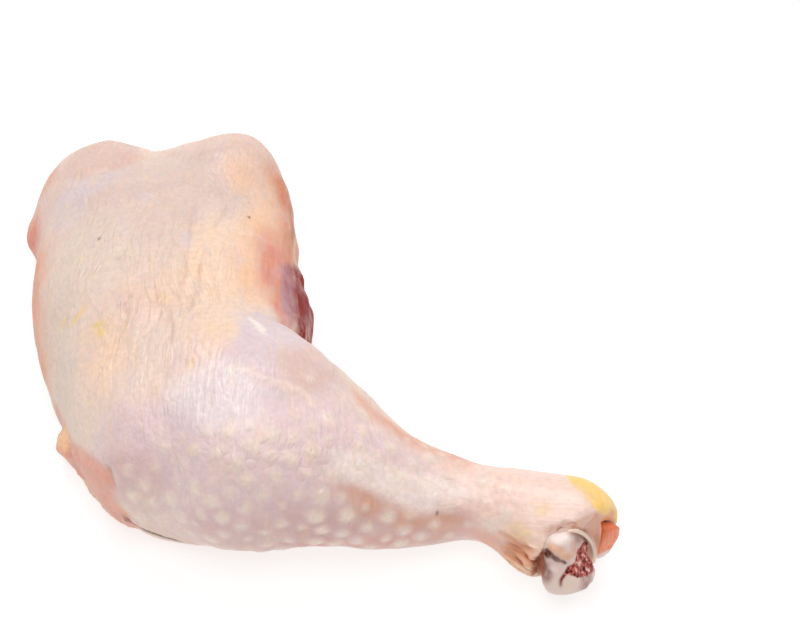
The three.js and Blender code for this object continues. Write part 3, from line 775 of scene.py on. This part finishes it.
# Raw chicken skin: a thin translucent wet hide over fat and flesh, so it takes their colours,
# scatters light, and carries a glossy film of juice broken up by fine wrinkles
skinLook = {
    "base": "#ebd1c2",
    "layers": [  # mask, colour, how ragged its border is
        ("greyTop", "#dcc2b8", 0.5),
        ("greyGreen", "#dfccbc", 0.5),
        ("frontLobe", "#dfbeb2", 0.4),
        ("pink", "#dfbaad", 0.5),
        ("peach", "#f6d3b9", 0.5),
        ("apricot", "#f5c4a1", 0.5),
        ("mauve", "#e7cbcd", 0.5),
        ("calfLilac", "#e1cbce", 0.6),
        ("flankPink", "#dfbdb3", 0.5),
        ("lilac", "#dac9ce", 0.6),
        ("deepMauve", "#d2aba6", 0.7),
        ("shankCream", "#f6d6c9", 0.4),
        ("shankBrown", "#dba48c", 0.7),
        # painted highlight along the top of the shank
        ("shinHighlight", "#f6e2da", 0.15),
        ("leftPeach", "#e3987a", 0.3),
        ("rightOrange", "#d48059", 0.25),
        ("edgeSalmon", "#e19b84", 0.35),
        ("fold", "#f2d9cc", 0.4),
        ("salmon", "#dc8672", 0.5),
        ("edgeShade", "#9c6a5a", 0.3),
        ("muscleHaze", "#a8646a", 0.7),
        ("muscle", "#8a1810", 0.5),
        # painted shade in the fine creases
        ("creaseShade", "#a8664d", 0.5),
        ("foldTan", "#ecb793", 0.4),
        # painted shade in the valleys of the loose folds
        ("foldValleyShade", "#c2714d", 0.4),
        ("foldCrest", "#fbdcb8", 0.4),
        # painted shade, tinted orange-brown like the skin there, in the grooves of the folds before the hock
        ("hockFoldShade", "#b4552f", 0.6),
        ("cuffShade", "#8f4630", 0.5),
        ("cuffEdge", "#b5694d", 0.4),
        ("flesh", "#e8a794", 0.4),
        ("rollRim", "#f6d5bb", 0.4),
        ("lapShade", "#43231b", 0.2),
        ("fatLump", "#f8c69a", 0.3),
        ("yellowFat", "#f0cd7f", 0.9),
        ("calfGlint", "#fff4ea", 0.5),
        ("cutFace", "#e6baa4", 0.4),
        ("cutDark", "#9a5a48", 0.6),
        ("yellowScale", "#fdcf78", 0.15),
        ("tongue", "#eba066", 0.3),
        ("follicle", "#edd7ca", 0.3),
        ("pore", "#5d4a40", 0.0),
    ],
    # Scale and detail of the noise, for clouds about 7, 1.4 and 0.7 mm wide
    "clouds": {"broad": (150.0, 3.0), "fine": (700.0, 3.0), "speckle": (1500.0, 2.0)},
    "alongGrain": {  # scale across, along and through the grain in 1/mm, detail and roughness of the noise
        "streaks": ((0.75, 0.1, 0.12), 3.0, 0.5),
        "flecks": ((0.3, 0.12, 0.16), 3.0, 0.5),
        "shining": ((2.1, 0.26, 0.26), 2.0, 0.5),
        "crinkling": ((0.36, 0.05, 0.07), 2.0, 0.5),
        "wrinkling": ((0.85, 0.17, 0.18), 4.0, 0.6),
    },
    "tints": [  # noise, its range, least and greatest strength, mask and colour
        ("streaks", 0.52, 0.72, 0.0, 0.24, None, "#f2d19d"),  # thin streaks of fat under the skin
        ("flecks", 0.5, 0.75, 0.0, 0.3, None, "#d8c1c9"),
        ("shining", 0.5, 0.64, 0.36, 0.72, "calfShine", "#f9edec"),  # painted highlight: pale streaks where the wet skin of the calf mirrors the top light
        ("streaks", 0.56, 0.7, 0.0, 0.6, "muscle", "#c9a0a2"),  # silvery membrane over the bare muscle
    ],
    "crinkle": "#b98468",  # painted shade in the fine creases of the thigh
    "crinkleHalf": 0.03,
    "crinkleShade": 0.13,
    "net": (0.5, 0.3, 0.35),  # lozenges about 2.5 mm wide, in 1/mm
    "relief": [("net", 0.2), ("speckle", 0.18), ("crinkled", -0.45)],  # added to the wrinkles
    "bumpDepth": 0.0009,  # m
    "roughness": (0.35, 0.59),
    "film": 0.85,
    "filmRoughness": 0.13,
}


# The wet film thins out to nothing at a glancing view, as on skin too rough to mirror there
def thinFilm(nodes, weight, drier=None):
    facing = addNode(nodes, "ShaderNodeLayerWeight", {"Blend": 0.5}, "Facing")
    film = addNode(nodes, "ShaderNodeMapRange", {
        "From Min": 0.35, "From Max": 0.85, "To Min": weight, "To Max": 0.05 * weight, "Value": facing})
    if not drier:
        return film
    mask = addNode(nodes, "ShaderNodeAttribute", {"attribute_name": drier}, "Fac")
    kept = addNode(nodes, "ShaderNodeMapRange", {"To Min": 1.0, "To Max": 0.35, "Value": mask})
    return addNode(nodes, "ShaderNodeMath", {"operation": "MULTIPLY", 0: film, 1: kept})


def skinMaterial():
    material, nodes = newMaterial("rawChickenSkin")
    place = addNode(nodes, "ShaderNodeTexCoord", out="Object")
    grain = addNode(nodes, "ShaderNodeAttribute", {"attribute_name": "grain"}, "Vector")
    names = [layer[0] for layer in skinLook["layers"]] + ["calfShine", "crinkle", "calm"]
    masks = {name: addNode(nodes, "ShaderNodeAttribute", {"attribute_name": name}, "Fac") for name in names}
    noises = {}
    for name, (scale, detail) in skinLook["clouds"].items():
        noises[name] = addNode(nodes, "ShaderNodeTexNoise",
                               {"Scale": scale, "Detail": detail, "Vector": place})
    for name, (scale, detail, roughness) in skinLook["alongGrain"].items():
        turned = addNode(nodes, "ShaderNodeMapping", {"Scale": scale, "Vector": grain})
        noises[name] = addNode(nodes, "ShaderNodeTexNoise", {
            "Scale": 1.0, "Detail": detail, "Roughness": roughness, "Vector": turned})
    broad, fine = noises["broad"], noises["fine"]

    # Each colour's border is broken up by the clouds
    patchy = addNode(nodes, "ShaderNodeMath", {"operation": "MULTIPLY_ADD", 0: broad, 1: 1.3, 2: -1.0})
    patchy = addNode(nodes, "ShaderNodeMath", {"operation": "MULTIPLY_ADD", 0: fine, 1: 0.7, 2: patchy})
    colour = linear(skinLook["base"])
    for name, hexColour, ragged in skinLook["layers"]:
        swing = addNode(nodes, "ShaderNodeMath", {
            "operation": "MULTIPLY_ADD", 0: patchy, 1: 2 * ragged, 2: 1.0})
        factor = addNode(nodes, "ShaderNodeMath", {
            "operation": "MULTIPLY", "use_clamp": True, 0: masks[name], 1: swing})
        colour = addNode(nodes, "ShaderNodeMix", {
            "data_type": "RGBA", 0: factor, 6: colour, 7: linear(hexColour)}, 2)
    for noise, low, high, least, most, mask, hexColour in skinLook["tints"]:
        factor = addNode(nodes, "ShaderNodeMapRange", {
            "From Min": low, "From Max": high, "To Min": least, "To Max": most, "Value": noises[noise]})
        if mask:
            factor = addNode(nodes, "ShaderNodeMath", {"operation": "MULTIPLY", 0: factor, 1: masks[mask]})
        colour = addNode(nodes, "ShaderNodeMix", {
            "data_type": "RGBA", 0: factor, 6: colour, 7: linear(hexColour)}, 2)

    # Long wavy creases down the thigh, thin lines where a stretched noise passes its middle, sunk by the bump
    # and darkened with painted shade
    away = addNode(nodes, "ShaderNodeMath", {"operation": "SUBTRACT", 0: noises["crinkling"], 1: 0.5})
    away = addNode(nodes, "ShaderNodeMath", {"operation": "ABSOLUTE", 0: away})
    crinkled = addNode(nodes, "ShaderNodeMapRange", {
        "From Min": skinLook["crinkleHalf"], "From Max": 0.0, "Value": away})
    for share in (masks["crinkle"], broad, 1.4):
        crinkled = addNode(nodes, "ShaderNodeMath", {
            "operation": "MULTIPLY", "use_clamp": True, 0: crinkled, 1: share})
    factor = addNode(nodes, "ShaderNodeMath",
                     {"operation": "MULTIPLY", 0: crinkled, 1: skinLook["crinkleShade"]})
    colour = addNode(nodes, "ShaderNodeMix", {
        "data_type": "RGBA", 0: factor, 6: colour, 7: linear(skinLook["crinkle"])}, 2)
    mottle = addNode(nodes, "ShaderNodeMapRange", {
        "From Min": 0.35, "From Max": 0.65, "To Min": 0.95, "To Max": 1.04, "Value": fine})
    colour = addNode(nodes, "ShaderNodeMix", {
        "data_type": "RGBA", "blend_type": "MULTIPLY", 0: 1.0, 6: colour, 7: mottle}, 2)

    # Wrinkles about 1 mm apart, a net of lines round lozenges, and fine speckle
    netPlace = addNode(nodes, "ShaderNodeMapping", {"Scale": skinLook["net"], "Vector": grain})
    net = addNode(nodes, "ShaderNodeTexVoronoi", {
        "feature": "DISTANCE_TO_EDGE", "Scale": 1.0, "Vector": netPlace}, "Distance")
    noises["net"] = addNode(nodes, "ShaderNodeMapRange", {"From Max": 0.22, "Value": net})
    noises["crinkled"] = crinkled
    height = noises["wrinkling"]
    for name, share in skinLook["relief"]:
        height = addNode(nodes, "ShaderNodeMath", {
            "operation": "MULTIPLY_ADD", 0: noises[name], 1: share, 2: height})
    strength = addNode(nodes, "ShaderNodeMapRange", {"To Min": 0.52, "To Max": 0.22, "Value": masks["calm"]})
    bump = addNode(nodes, "ShaderNodeBump", {
        "Distance": skinLook["bumpDepth"], "Height": height, "Strength": strength})
    least, most = skinLook["roughness"]
    rough = addNode(nodes, "ShaderNodeMapRange", {"To Min": least, "To Max": most, "Value": fine})
    shader = addNode(nodes, "ShaderNodeBsdfPrincipled", {
        "IOR": 1.4, "Specular IOR Level": 0.1, "Subsurface Weight": 0.3,
        "Subsurface Radius": (1.0, 0.45, 0.3), "Subsurface Scale": 0.0018,
        "Coat Roughness": skinLook["filmRoughness"], "Coat IOR": 1.44,
        "Base Color": colour, "Roughness": rough, "Normal": bump, "Coat Normal": bump,
        "Coat Weight": thinFilm(nodes, skinLook["film"], "muscle")})
    addNode(nodes, "ShaderNodeOutputMaterial", {"Surface": shader})
    return material


skinPiece = makeSkin()
wetSkin = skinMaterial()
feathering = skinPiece.modifiers.new("featherBumps", "NODES")
feathering.node_group = featherBumps()
setInputs(feathering, {"Spacing": skin["spacing"] * 0.001, "Bump Width": skin["bumpWidth"] * 0.001,
                       "Bump Height": skin["bumpHeight"] * 0.001, "Least Size": skin["bumpSizes"][0],
                       "Greatest Size": skin["bumpSizes"][1], "Seed": skin["seed"], "Material": wetSkin})
bakeModifiers(skinPiece)
smoothShading(skinPiece.data)
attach(skinPiece, "root")
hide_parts("leg")
print("skinAndFlesh:", sum(len(p.vertices) - 2 for p in skinPiece.data.polygons), "triangles")

# Shin bone: a head of bluish cartilage in two knuckles, sawn through to the dark red spongy marrow

bone = {
    "voxel": 0.26,  # mm
    "softening": 3,
    "groove": [(102.3, -29.8, 18.0), (104.4, -31.5, 17.6), (105.1, -32.2, 17.2), (106.2, -32.7, 17.0),
               (107.2, -33.1, 16.7), (108.5, -33.4, 16.3), (109.6, -33.3, 15.8)],
    "grooveDepth": 0.9,
    "swells": [(101.4, -31.6, 13.0, 2.4, 2.4, 6.0, 0, -1.2), (115.2, -25.8, 12.8, 2.2, 2.0, 3.2, 0, 0.8)],
    "knuckle": (107.2, -28.0, 18.5, 4.6, 6.0, 5.0, 0, 1.0),
    "knuckleShift": (-0.2, -1.8, 3.5),  # mm, the upper knuckle overhangs the hollow
    "knuckleFrom": (106.3, -32.0, 17.4),  # it is raised above the plane through here
    "knuckleUp": (0.15, 0.5, 0.85),
    "tornBelow": 103.1,  # mm along x
    "lip": [(103.4, -29.8, 18.2), (104.9, -30.6, 18.8), (106.1, -31.6, 18.6), (107.8, -32.3, 18.0),
            (109.5, -32.1, 17.6), (110.3, -30.8, 17.6)],
    "marrow": [(113.8, -25.8, 15.6), (115.9, -25.0, 13.1), (117.2, -26.4, 11.2), (117.2, -29.6, 9.6),
               (114.4, -33.2, 10.9), (111.5, -35.5, 13.4), (109.7, -35.7, 15.8), (110.0, -34.2, 16.2),
               (111.0, -32.4, 15.7), (111.6, -29.3, 16.4)],
    "redLine": [(109.5, -33.9, 15.0), (108.2, -35.2, 14.3), (107.3, -36.2, 13.2), (107.2, -37.3, 11.8)],
    "spots": {
        # Bluish-white cartilage, brightened into painted highlights on the cap and on the lower knuckle
        "blueWhiteHighlight": [(107.6, -27.4, 19.2, 3.8, 3.0, 2.4, 0, 1.0),
                      (105.2, -34.0, 14.8, 1.4, 1.2, 1.0, 0, 0.6)],
        "peachFacet": [(106.0, -31.3, 18.8, 2.2, 1.0, 1.0, 0, 0.8),
                       (110.6, -29.6, 17.6, 1.4, 2.2, 1.8, 0, 0.9)],
        "lilacFacet": [(113.6, -34.6, 10.8, 3.0, 3.0, 2.0, 0, 0.9),
                       (112.2, -27.8, 18.0, 1.4, 1.8, 2.0, 0, 0.8)],
        "whiteFacet": [(109.4, -36.9, 12.6, 1.9, 2.6, 2.2, 0, 1.0)],
        "cream": [(105.2, -31.0, 18.6, 1.8, 0.9, 0.7, 0, 0.8), (108.4, -32.2, 17.8, 1.8, 0.9, 0.7, 0, 0.9)],
        "shadeSide": [(103.6, -33.4, 12.6, 2.4, 2.4, 3.8, 0, 1.0)],
    },
    "hollow": [(103.7, -31.2, 17.2, 2.2, 1.3, 1.0, 0, 1.0)],  # painted shade in the gap between the knuckles, over dark red tissue
}

# Wet cartilage over bone; the sawn face is open red marrow between thin pale struts
boneLook = {
    "base": "#e2cbc2",
    "layers": [
        ("shadeSide", "#a67d75"),
        ("torn", "#a9664c"),
        # bluish-white cartilage with painted highlights
        ("blueWhiteHighlight", "#f1e2dd"),
        ("peachFacet", "#dba893"),
        ("lilacFacet", "#b59189"),
        ("whiteFacet", "#e6d1c1"),
        ("cream", "#e8c4ab"),
        ("lip", "#e6b99c"),
        # painted shade in the hollow between the knuckles
        ("hollowShade", "#6a3025"),
        ("redLine", "#8a3b33"),
    ],
    "marrow": "#bd5d52",
    # Range of the noise and colour, for dark holes and pale struts
    "sponge": [(0.5, 0.4, "#5a1517"), (0.55, 0.63, "#efc3b8")],
    "film": 0.35,
}


def makeBone():
    made = refine(mergedCopy("shin_bone", "shinBone"), 1, bone["voxel"], bone["softening"])
    mesh = made.data
    points = readPoints(mesh)
    normals = readNormals(mesh)
    sawn = patchMask(points, bone["marrow"], 0.25, 3.2)
    lip = bandMask(points, bone["lip"], 0.8)
    up = 0.12 * valueNoise(points, 1.6, 51)
    up -= bone["grooveDepth"] * bandMask(points, bone["groove"], 0.9)
    for area in bone["swells"]:
        up += area[-1] * spotMask(points, [(*area[:-1], 1.0)])
    up += lip * (0.35 + 0.3 * ridges(points, (1.1, 1.1, 2.0), 54))
    up -= 0.3 * bandMask(points, bone["redLine"], 0.35)
    up += 0.35 * spotMask(points, bone["spots"]["cream"]) * ridges(points, (0.9, 0.9, 1.4), 52)
    up -= sawn * (0.25 + 0.5 * np.clip(valueNoise(points, 0.75, 53), -0.2, 1))
    above = (points - bone["knuckleFrom"]) @ np.array(bone["knuckleUp"])
    raised = smoothStep((above + 0.2) / 1.2) * spotMask(points, [bone["knuckle"]])
    writePoints(mesh, points + up[:, None] * normals + raised[:, None] * bone["knuckleShift"])

    for name, listed in bone["spots"].items():
        writeMask(mesh, name, spotMask(points, listed))
    # Painted shade, dark red-brown, in the ragged hollow under the upper knuckle
    ragged = bandMask(points, bone["groove"], 0.8) + 0.3 * valueNoise(points, 0.8, 55)
    hollow = np.maximum(0.8 * smoothStep((ragged - 0.4) / 0.35), spotMask(points, bone["hollow"]))
    torn = smoothStep((bone["tornBelow"] - points[:, 0]) / 0.5) * smoothStep((points[:, 2] - 7) / 2)
    redLine = bandMask(points, bone["redLine"], 0.42)
    for name, mask in (("hollowShade", hollow), ("torn", torn), ("redLine", redLine), ("lip", lip),
                       ("marrow", sawn)):
        writeMask(mesh, name, mask)
    return made


def boneMaterial():
    material, nodes = newMaterial("rawBoneCartilage")
    place = addNode(nodes, "ShaderNodeTexCoord", out="Object")
    cloud = addNode(nodes, "ShaderNodeTexNoise", {"Scale": 500.0, "Detail": 3.0, "Vector": place})
    holes = addNode(nodes, "ShaderNodeTexNoise", {
        "Scale": 780.0, "Detail": 3.0, "Roughness": 0.6, "Vector": place})
    swing = addNode(nodes, "ShaderNodeMapRange", {
        "From Min": 0.3, "From Max": 0.7, "To Min": 0.7, "To Max": 1.25, "Value": cloud})
    colour = linear(boneLook["base"])
    for name, hexColour in boneLook["layers"]:
        mask = addNode(nodes, "ShaderNodeAttribute", {"attribute_name": name}, "Fac")
        factor = addNode(nodes, "ShaderNodeMath", {
            "operation": "MULTIPLY", "use_clamp": True, 0: mask, 1: swing})
        colour = addNode(nodes, "ShaderNodeMix", {
            "data_type": "RGBA", 0: factor, 6: colour, 7: linear(hexColour)}, 2)
    sponge = linear(boneLook["marrow"])
    for low, high, hexColour in boneLook["sponge"]:
        factor = addNode(nodes, "ShaderNodeMapRange", {"From Min": low, "From Max": high, "Value": holes})
        sponge = addNode(nodes, "ShaderNodeMix", {
            "data_type": "RGBA", 0: factor, 6: sponge, 7: linear(hexColour)}, 2)
    sawn = addNode(nodes, "ShaderNodeAttribute", {"attribute_name": "marrow"}, "Fac")
    colour = addNode(nodes, "ShaderNodeMix", {"data_type": "RGBA", 0: sawn, 6: colour, 7: sponge}, 2)
    height = addNode(nodes, "ShaderNodeMath", {"operation": "MULTIPLY", 0: cloud, 1: 0.4})
    pits = addNode(nodes, "ShaderNodeMath", {"operation": "MULTIPLY", 0: holes, 1: sawn})
    height = addNode(nodes, "ShaderNodeMath", {"operation": "MULTIPLY_ADD", 0: pits, 1: 2.5, 2: height})
    bump = addNode(nodes, "ShaderNodeBump", {"Strength": 0.6, "Distance": 0.0003, "Height": height})
    shader = addNode(nodes, "ShaderNodeBsdfPrincipled", {
        "Roughness": 0.35, "IOR": 1.4, "Specular IOR Level": 0.2, "Subsurface Weight": 0.25,
        "Subsurface Radius": (1.0, 0.5, 0.4), "Subsurface Scale": 0.001, "Coat Roughness": 0.08,
        "Coat IOR": 1.4, "Base Color": colour, "Normal": bump, "Coat Normal": bump,
        "Coat Weight": thinFilm(nodes, boneLook["film"], "hollowShade")})
    addNode(nodes, "ShaderNodeOutputMaterial", {"Surface": shader})
    return material


def finishPiece(made, material):
    smoothShading(made.data)
    made.data.materials.append(material)
    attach(made, "root")
    print(made.name + ":", sum(len(p.vertices) - 2 for p in made.data.polygons), "triangles")


bonePiece = makeBone()
finishPiece(bonePiece, boneMaterial())
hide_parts("shin_bone")

# The cut tendon behind the bone, orange with a rim of white gristle at the bottom

tendon = {
    "voxel": 0.3,  # mm
    "orange": "#ec804f",
    "gristle": "#e3cdc3",
    "gristleTop": 6.4,  # mm above the table
}


def makeTendon():
    made = refine(mergedCopy("hock_tendon", "hockTendon"), 1, tendon["voxel"], 3)
    mesh = made.data
    points = readPoints(mesh)
    up = 0.15 * valueNoise(points, 2.4, 61) + 0.1 * ridges(points, (1.0, 1.0, 7.0), 62)
    points = points + up[:, None] * readNormals(mesh)
    points[:, 2] = np.maximum(points[:, 2], 0.3)
    writePoints(mesh, points)
    low = smoothStep((tendon["gristleTop"] - points[:, 2] + 0.8 * valueNoise(points, 1.5, 63)) / 0.9)
    writeMask(mesh, "gristle", low)
    return made


# Tendon and membrane: wet bundles of pale fibre that run upright, tinted where they hold blood
def sinewMaterial(name, under, over, mask, scatter):
    material, nodes = newMaterial(name)
    place = addNode(nodes, "ShaderNodeTexCoord", out="Object")
    stretch = addNode(nodes, "ShaderNodeMapping", {"Scale": (1300, 1300, 220), "Vector": place})
    fibres = addNode(nodes, "ShaderNodeTexNoise", {"Scale": 1.0, "Detail": 3.0, "Vector": stretch})
    tone = addNode(nodes, "ShaderNodeMapRange", {
        "From Min": 0.3, "From Max": 0.7, "To Min": -0.1, "To Max": 0.1, "Value": fibres})
    mask = addNode(nodes, "ShaderNodeAttribute", {"attribute_name": mask}, "Fac")
    factor = addNode(nodes, "ShaderNodeMath", {"operation": "ADD", "use_clamp": True, 0: mask, 1: tone})
    colour = addNode(nodes, "ShaderNodeMix", {
        "data_type": "RGBA", 0: factor, 6: linear(under), 7: linear(over)}, 2)
    bump = addNode(nodes, "ShaderNodeBump", {"Strength": 0.4, "Distance": 0.0004, "Height": fibres})
    shader = addNode(nodes, "ShaderNodeBsdfPrincipled", {
        "Roughness": 0.4, "IOR": 1.4, "Subsurface Weight": scatter, "Subsurface Radius": (1.0, 0.5, 0.35),
        "Subsurface Scale": 0.0015, "Coat Roughness": 0.12, "Coat IOR": 1.4, "Base Color": colour,
        "Normal": bump, "Coat Normal": bump, "Coat Weight": thinFilm(nodes, 0.5)})
    addNode(nodes, "ShaderNodeOutputMaterial", {"Surface": shader})
    return material


tendonPiece = makeTendon()
wetTendon = sinewMaterial("rawTendon", tendon["orange"], tendon["gristle"], "gristle", 0.2)
finishPiece(tendonPiece, wetTendon)
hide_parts("hock_tendon")

# A thin membrane between bone and tendon, with a cream strand of sinew along its front edge

sinew = {
    "voxel": 0.22,  # mm
    "strand": [(108.6, -29.0, 23.9), (110.6, -28.4, 23.2), (112.9, -26.6, 19.4), (114.9, -25.0, 14.2),
               (116.0, -24.8, 10.0), (116.2, -24.9, 6.4), (115.8, -25.0, 4.2)],
    "radii": [0.3, 0.55, 0.6, 0.6, 0.5, 0.45, 0.3],
    "front": [(109.0, -27.6, 24.2), (110.8, -27.0, 22.6), (112.0, -25.4, 18.8), (113.0, -24.2, 14.0),
              (113.6, -24.0, 10.0), (113.8, -24.1, 6.4), (113.6, -24.3, 4.2)],
    "back": [(116.2, -23.6, 24.2), (117.0, -24.0, 21.8), (117.5, -24.6, 17.0), (117.3, -24.8, 12.5),
             (117.2, -24.9, 9.0), (117.0, -24.9, 6.4), (116.6, -25.0, 4.4)],
    "thickness": 0.5,
    "film": "#dca68f",
    "strandColour": "#ecd2bf",
}


def tubeAlong(edit, path, radii, sides):
    rings = []
    one = None
    for i, place in enumerate(path):
        ahead = path[min(i + 1, len(path) - 1)] - path[max(i - 1, 0)]
        ahead = ahead / np.linalg.norm(ahead)
        one = np.cross(ahead, (0.3, 0.9, 0.1)) if one is None else one - (one @ ahead) * ahead
        one = one / np.linalg.norm(one)
        other = np.cross(ahead, one)
        turns = np.linspace(0, 2 * math.pi, sides, endpoint=False)
        around = [math.cos(a) * one + math.sin(a) * other for a in turns]
        rings.append([edit.verts.new(place + radii[i] * way) for way in around])
    for low, high in zip(rings, rings[1:]):
        for j in range(sides):
            k = (j + 1) % sides
            edit.faces.new((low[j], low[k], high[k], high[j]))
    edit.faces.new(rings[0][::-1])
    edit.faces.new(rings[-1])


def makeSinew():
    edit = bmesh.new()
    steps = 5
    strand = smoothPath(sinew["strand"], steps)
    radii = np.interp(np.linspace(0, 1, len(strand)), np.linspace(0, 1, len(sinew["radii"])), sinew["radii"])
    tubeAlong(edit, strand, radii, 12)
    back = smoothPath(sinew["back"], steps)
    across = 7
    half = sinew["thickness"] / 2
    bulge = np.array([0.2, 0.45, 0])
    sheets = []
    for lift in (-half, half):
        rows = []
        for a, b in zip(smoothPath(sinew["front"], steps), back):
            sag = np.array([0.5, -0.8, 0.1]) * lift
            rows.append([edit.verts.new(a * (1 - t) + b * t + sag + bulge * math.sin(math.pi * t))
                         for t in np.linspace(0, 1, across)])
        sheets.append(rows)
    for side, rows in enumerate(sheets):
        for i in range(len(rows) - 1):
            for j in range(across - 1):
                quad = (rows[i][j], rows[i][j + 1], rows[i + 1][j + 1], rows[i + 1][j])
                edit.faces.new(quad if side else quad[::-1])
    low, high = sheets
    rim = ([(i, 0) for i in range(len(low))] + [(len(low) - 1, j) for j in range(1, across)]
           + [(i, across - 1) for i in range(len(low) - 2, -1, -1)]
           + [(0, j) for j in range(across - 2, 0, -1)])
    for (i, j), (k, m) in zip(rim, rim[1:] + rim[:1]):
        edit.faces.new((low[i][j], low[k][m], high[k][m], high[i][j]))
    for vertex in edit.verts:
        vertex.co = Vector(toFrame(vertex.co))
    bmesh.ops.recalc_face_normals(edit, faces=edit.faces)
    mesh = bpy.data.meshes.new("hockSinew")
    edit.to_mesh(mesh)
    edit.free()
    made = bpy.data.objects.new("hockSinew", mesh)
    collection.objects.link(made)
    refine(made, 0, sinew["voxel"], 3)
    points = readPoints(made.data)
    d, t, side = nearPath(points, strand, 4)
    writeMask(made.data, "strand", smoothStep((1.1 - d) / 0.6))
    return made


sinewPiece = makeSinew()
wetSinew = sinewMaterial("sinewMembrane", sinew["film"], sinew["strandColour"], "strand", 0.35)
finishPiece(sinewPiece, wetSinew)

# Table, light and camera

studio = {
    "target": (68.0, 59.0, 0.0),
    "distance": 750.0,
    "elevation": 50.0,
    "lens": 125.0,
    "sensor": 36.0,
    "sky": 0.38,
    "tableHalf": 3.0,  # m
    "tableGrey": 0.4,
    "tableGlow": 0.68,  # the photo's ground is pure white
    "softboxes": [  # name, azimuth and elevation in degrees, distance, width and height in m, watts
        ("backSoftbox", -8, 60, 1.1, 0.95, 0.42, 5.0),
        ("rightSoftbox", 66, 45, 1.2, 0.3, 0.3, 1.5),
        ("topSoftbox", 195, 72, 1.4, 1.2, 0.8, 8.5),
    ],
}


# A matt white sheet that glows a little, so that it comes out as white as the photo's ground
def makeTable():
    edit = bmesh.new()
    bmesh.ops.create_grid(edit, x_segments=1, y_segments=1, size=studio["tableHalf"])
    mesh = bpy.data.meshes.new("table")
    edit.to_mesh(mesh)
    edit.free()
    made = bpy.data.objects.new("table", mesh)
    collection.objects.link(made)
    material, nodes = newMaterial("paleTable")
    shader = addNode(nodes, "ShaderNodeBsdfPrincipled", {
        "Base Color": (*[studio["tableGrey"]] * 3, 1), "Roughness": 0.8, "Specular IOR Level": 0.2,
        "Emission Color": (1, 1, 1, 1), "Emission Strength": studio["tableGlow"]})
    addNode(nodes, "ShaderNodeOutputMaterial", {"Surface": shader})
    mesh.materials.append(material)


def softLight(name, azimuth, elevation, distance, width, height, watts):
    a = math.radians(azimuth)
    e = math.radians(elevation)
    towards = Vector((math.sin(a) * math.cos(e), math.cos(a) * math.cos(e), math.sin(e)))
    lamp = bpy.data.lights.new(name, "AREA")
    lamp.shape = "RECTANGLE"
    lamp.size = width
    lamp.size_y = height
    lamp.energy = watts
    made = bpy.data.objects.new(name, lamp)
    made.location = towards * distance
    made.rotation_mode = "QUATERNION"
    made.rotation_quaternion = towards.to_track_quat("Z", "Y")
    collection.objects.link(made)


makeTable()
for softbox in studio["softboxes"]:
    softLight(*softbox)

world = bpy.data.worlds.new("studio")
bpy.context.scene.world = world
world.use_nodes = True
sky = world.node_tree.nodes["Background"].inputs
sky["Color"].default_value = (1.0, 1.0, 1.0, 1.0)
sky["Strength"].default_value = studio["sky"]
bpy.context.scene.view_settings.view_transform = "Standard"

elevation = math.radians(studio["elevation"])
look = Vector((0, math.cos(elevation), -math.sin(elevation)))
lens = bpy.data.cameras.new("camera")
lens.lens = studio["lens"]
lens.sensor_width = studio["sensor"]
lens.clip_start = 0.01
lens.clip_end = 20
camera = bpy.data.objects.new("camera", lens)
camera.location = Vector(toFrame(studio["target"])) - look * studio["distance"] * 0.001
camera.rotation_mode = "QUATERNION"
camera.rotation_quaternion = look.to_track_quat("-Z", "Y")
collection.objects.link(camera)
bpy.context.scene.camera = camera
print("table, lights and camera set")
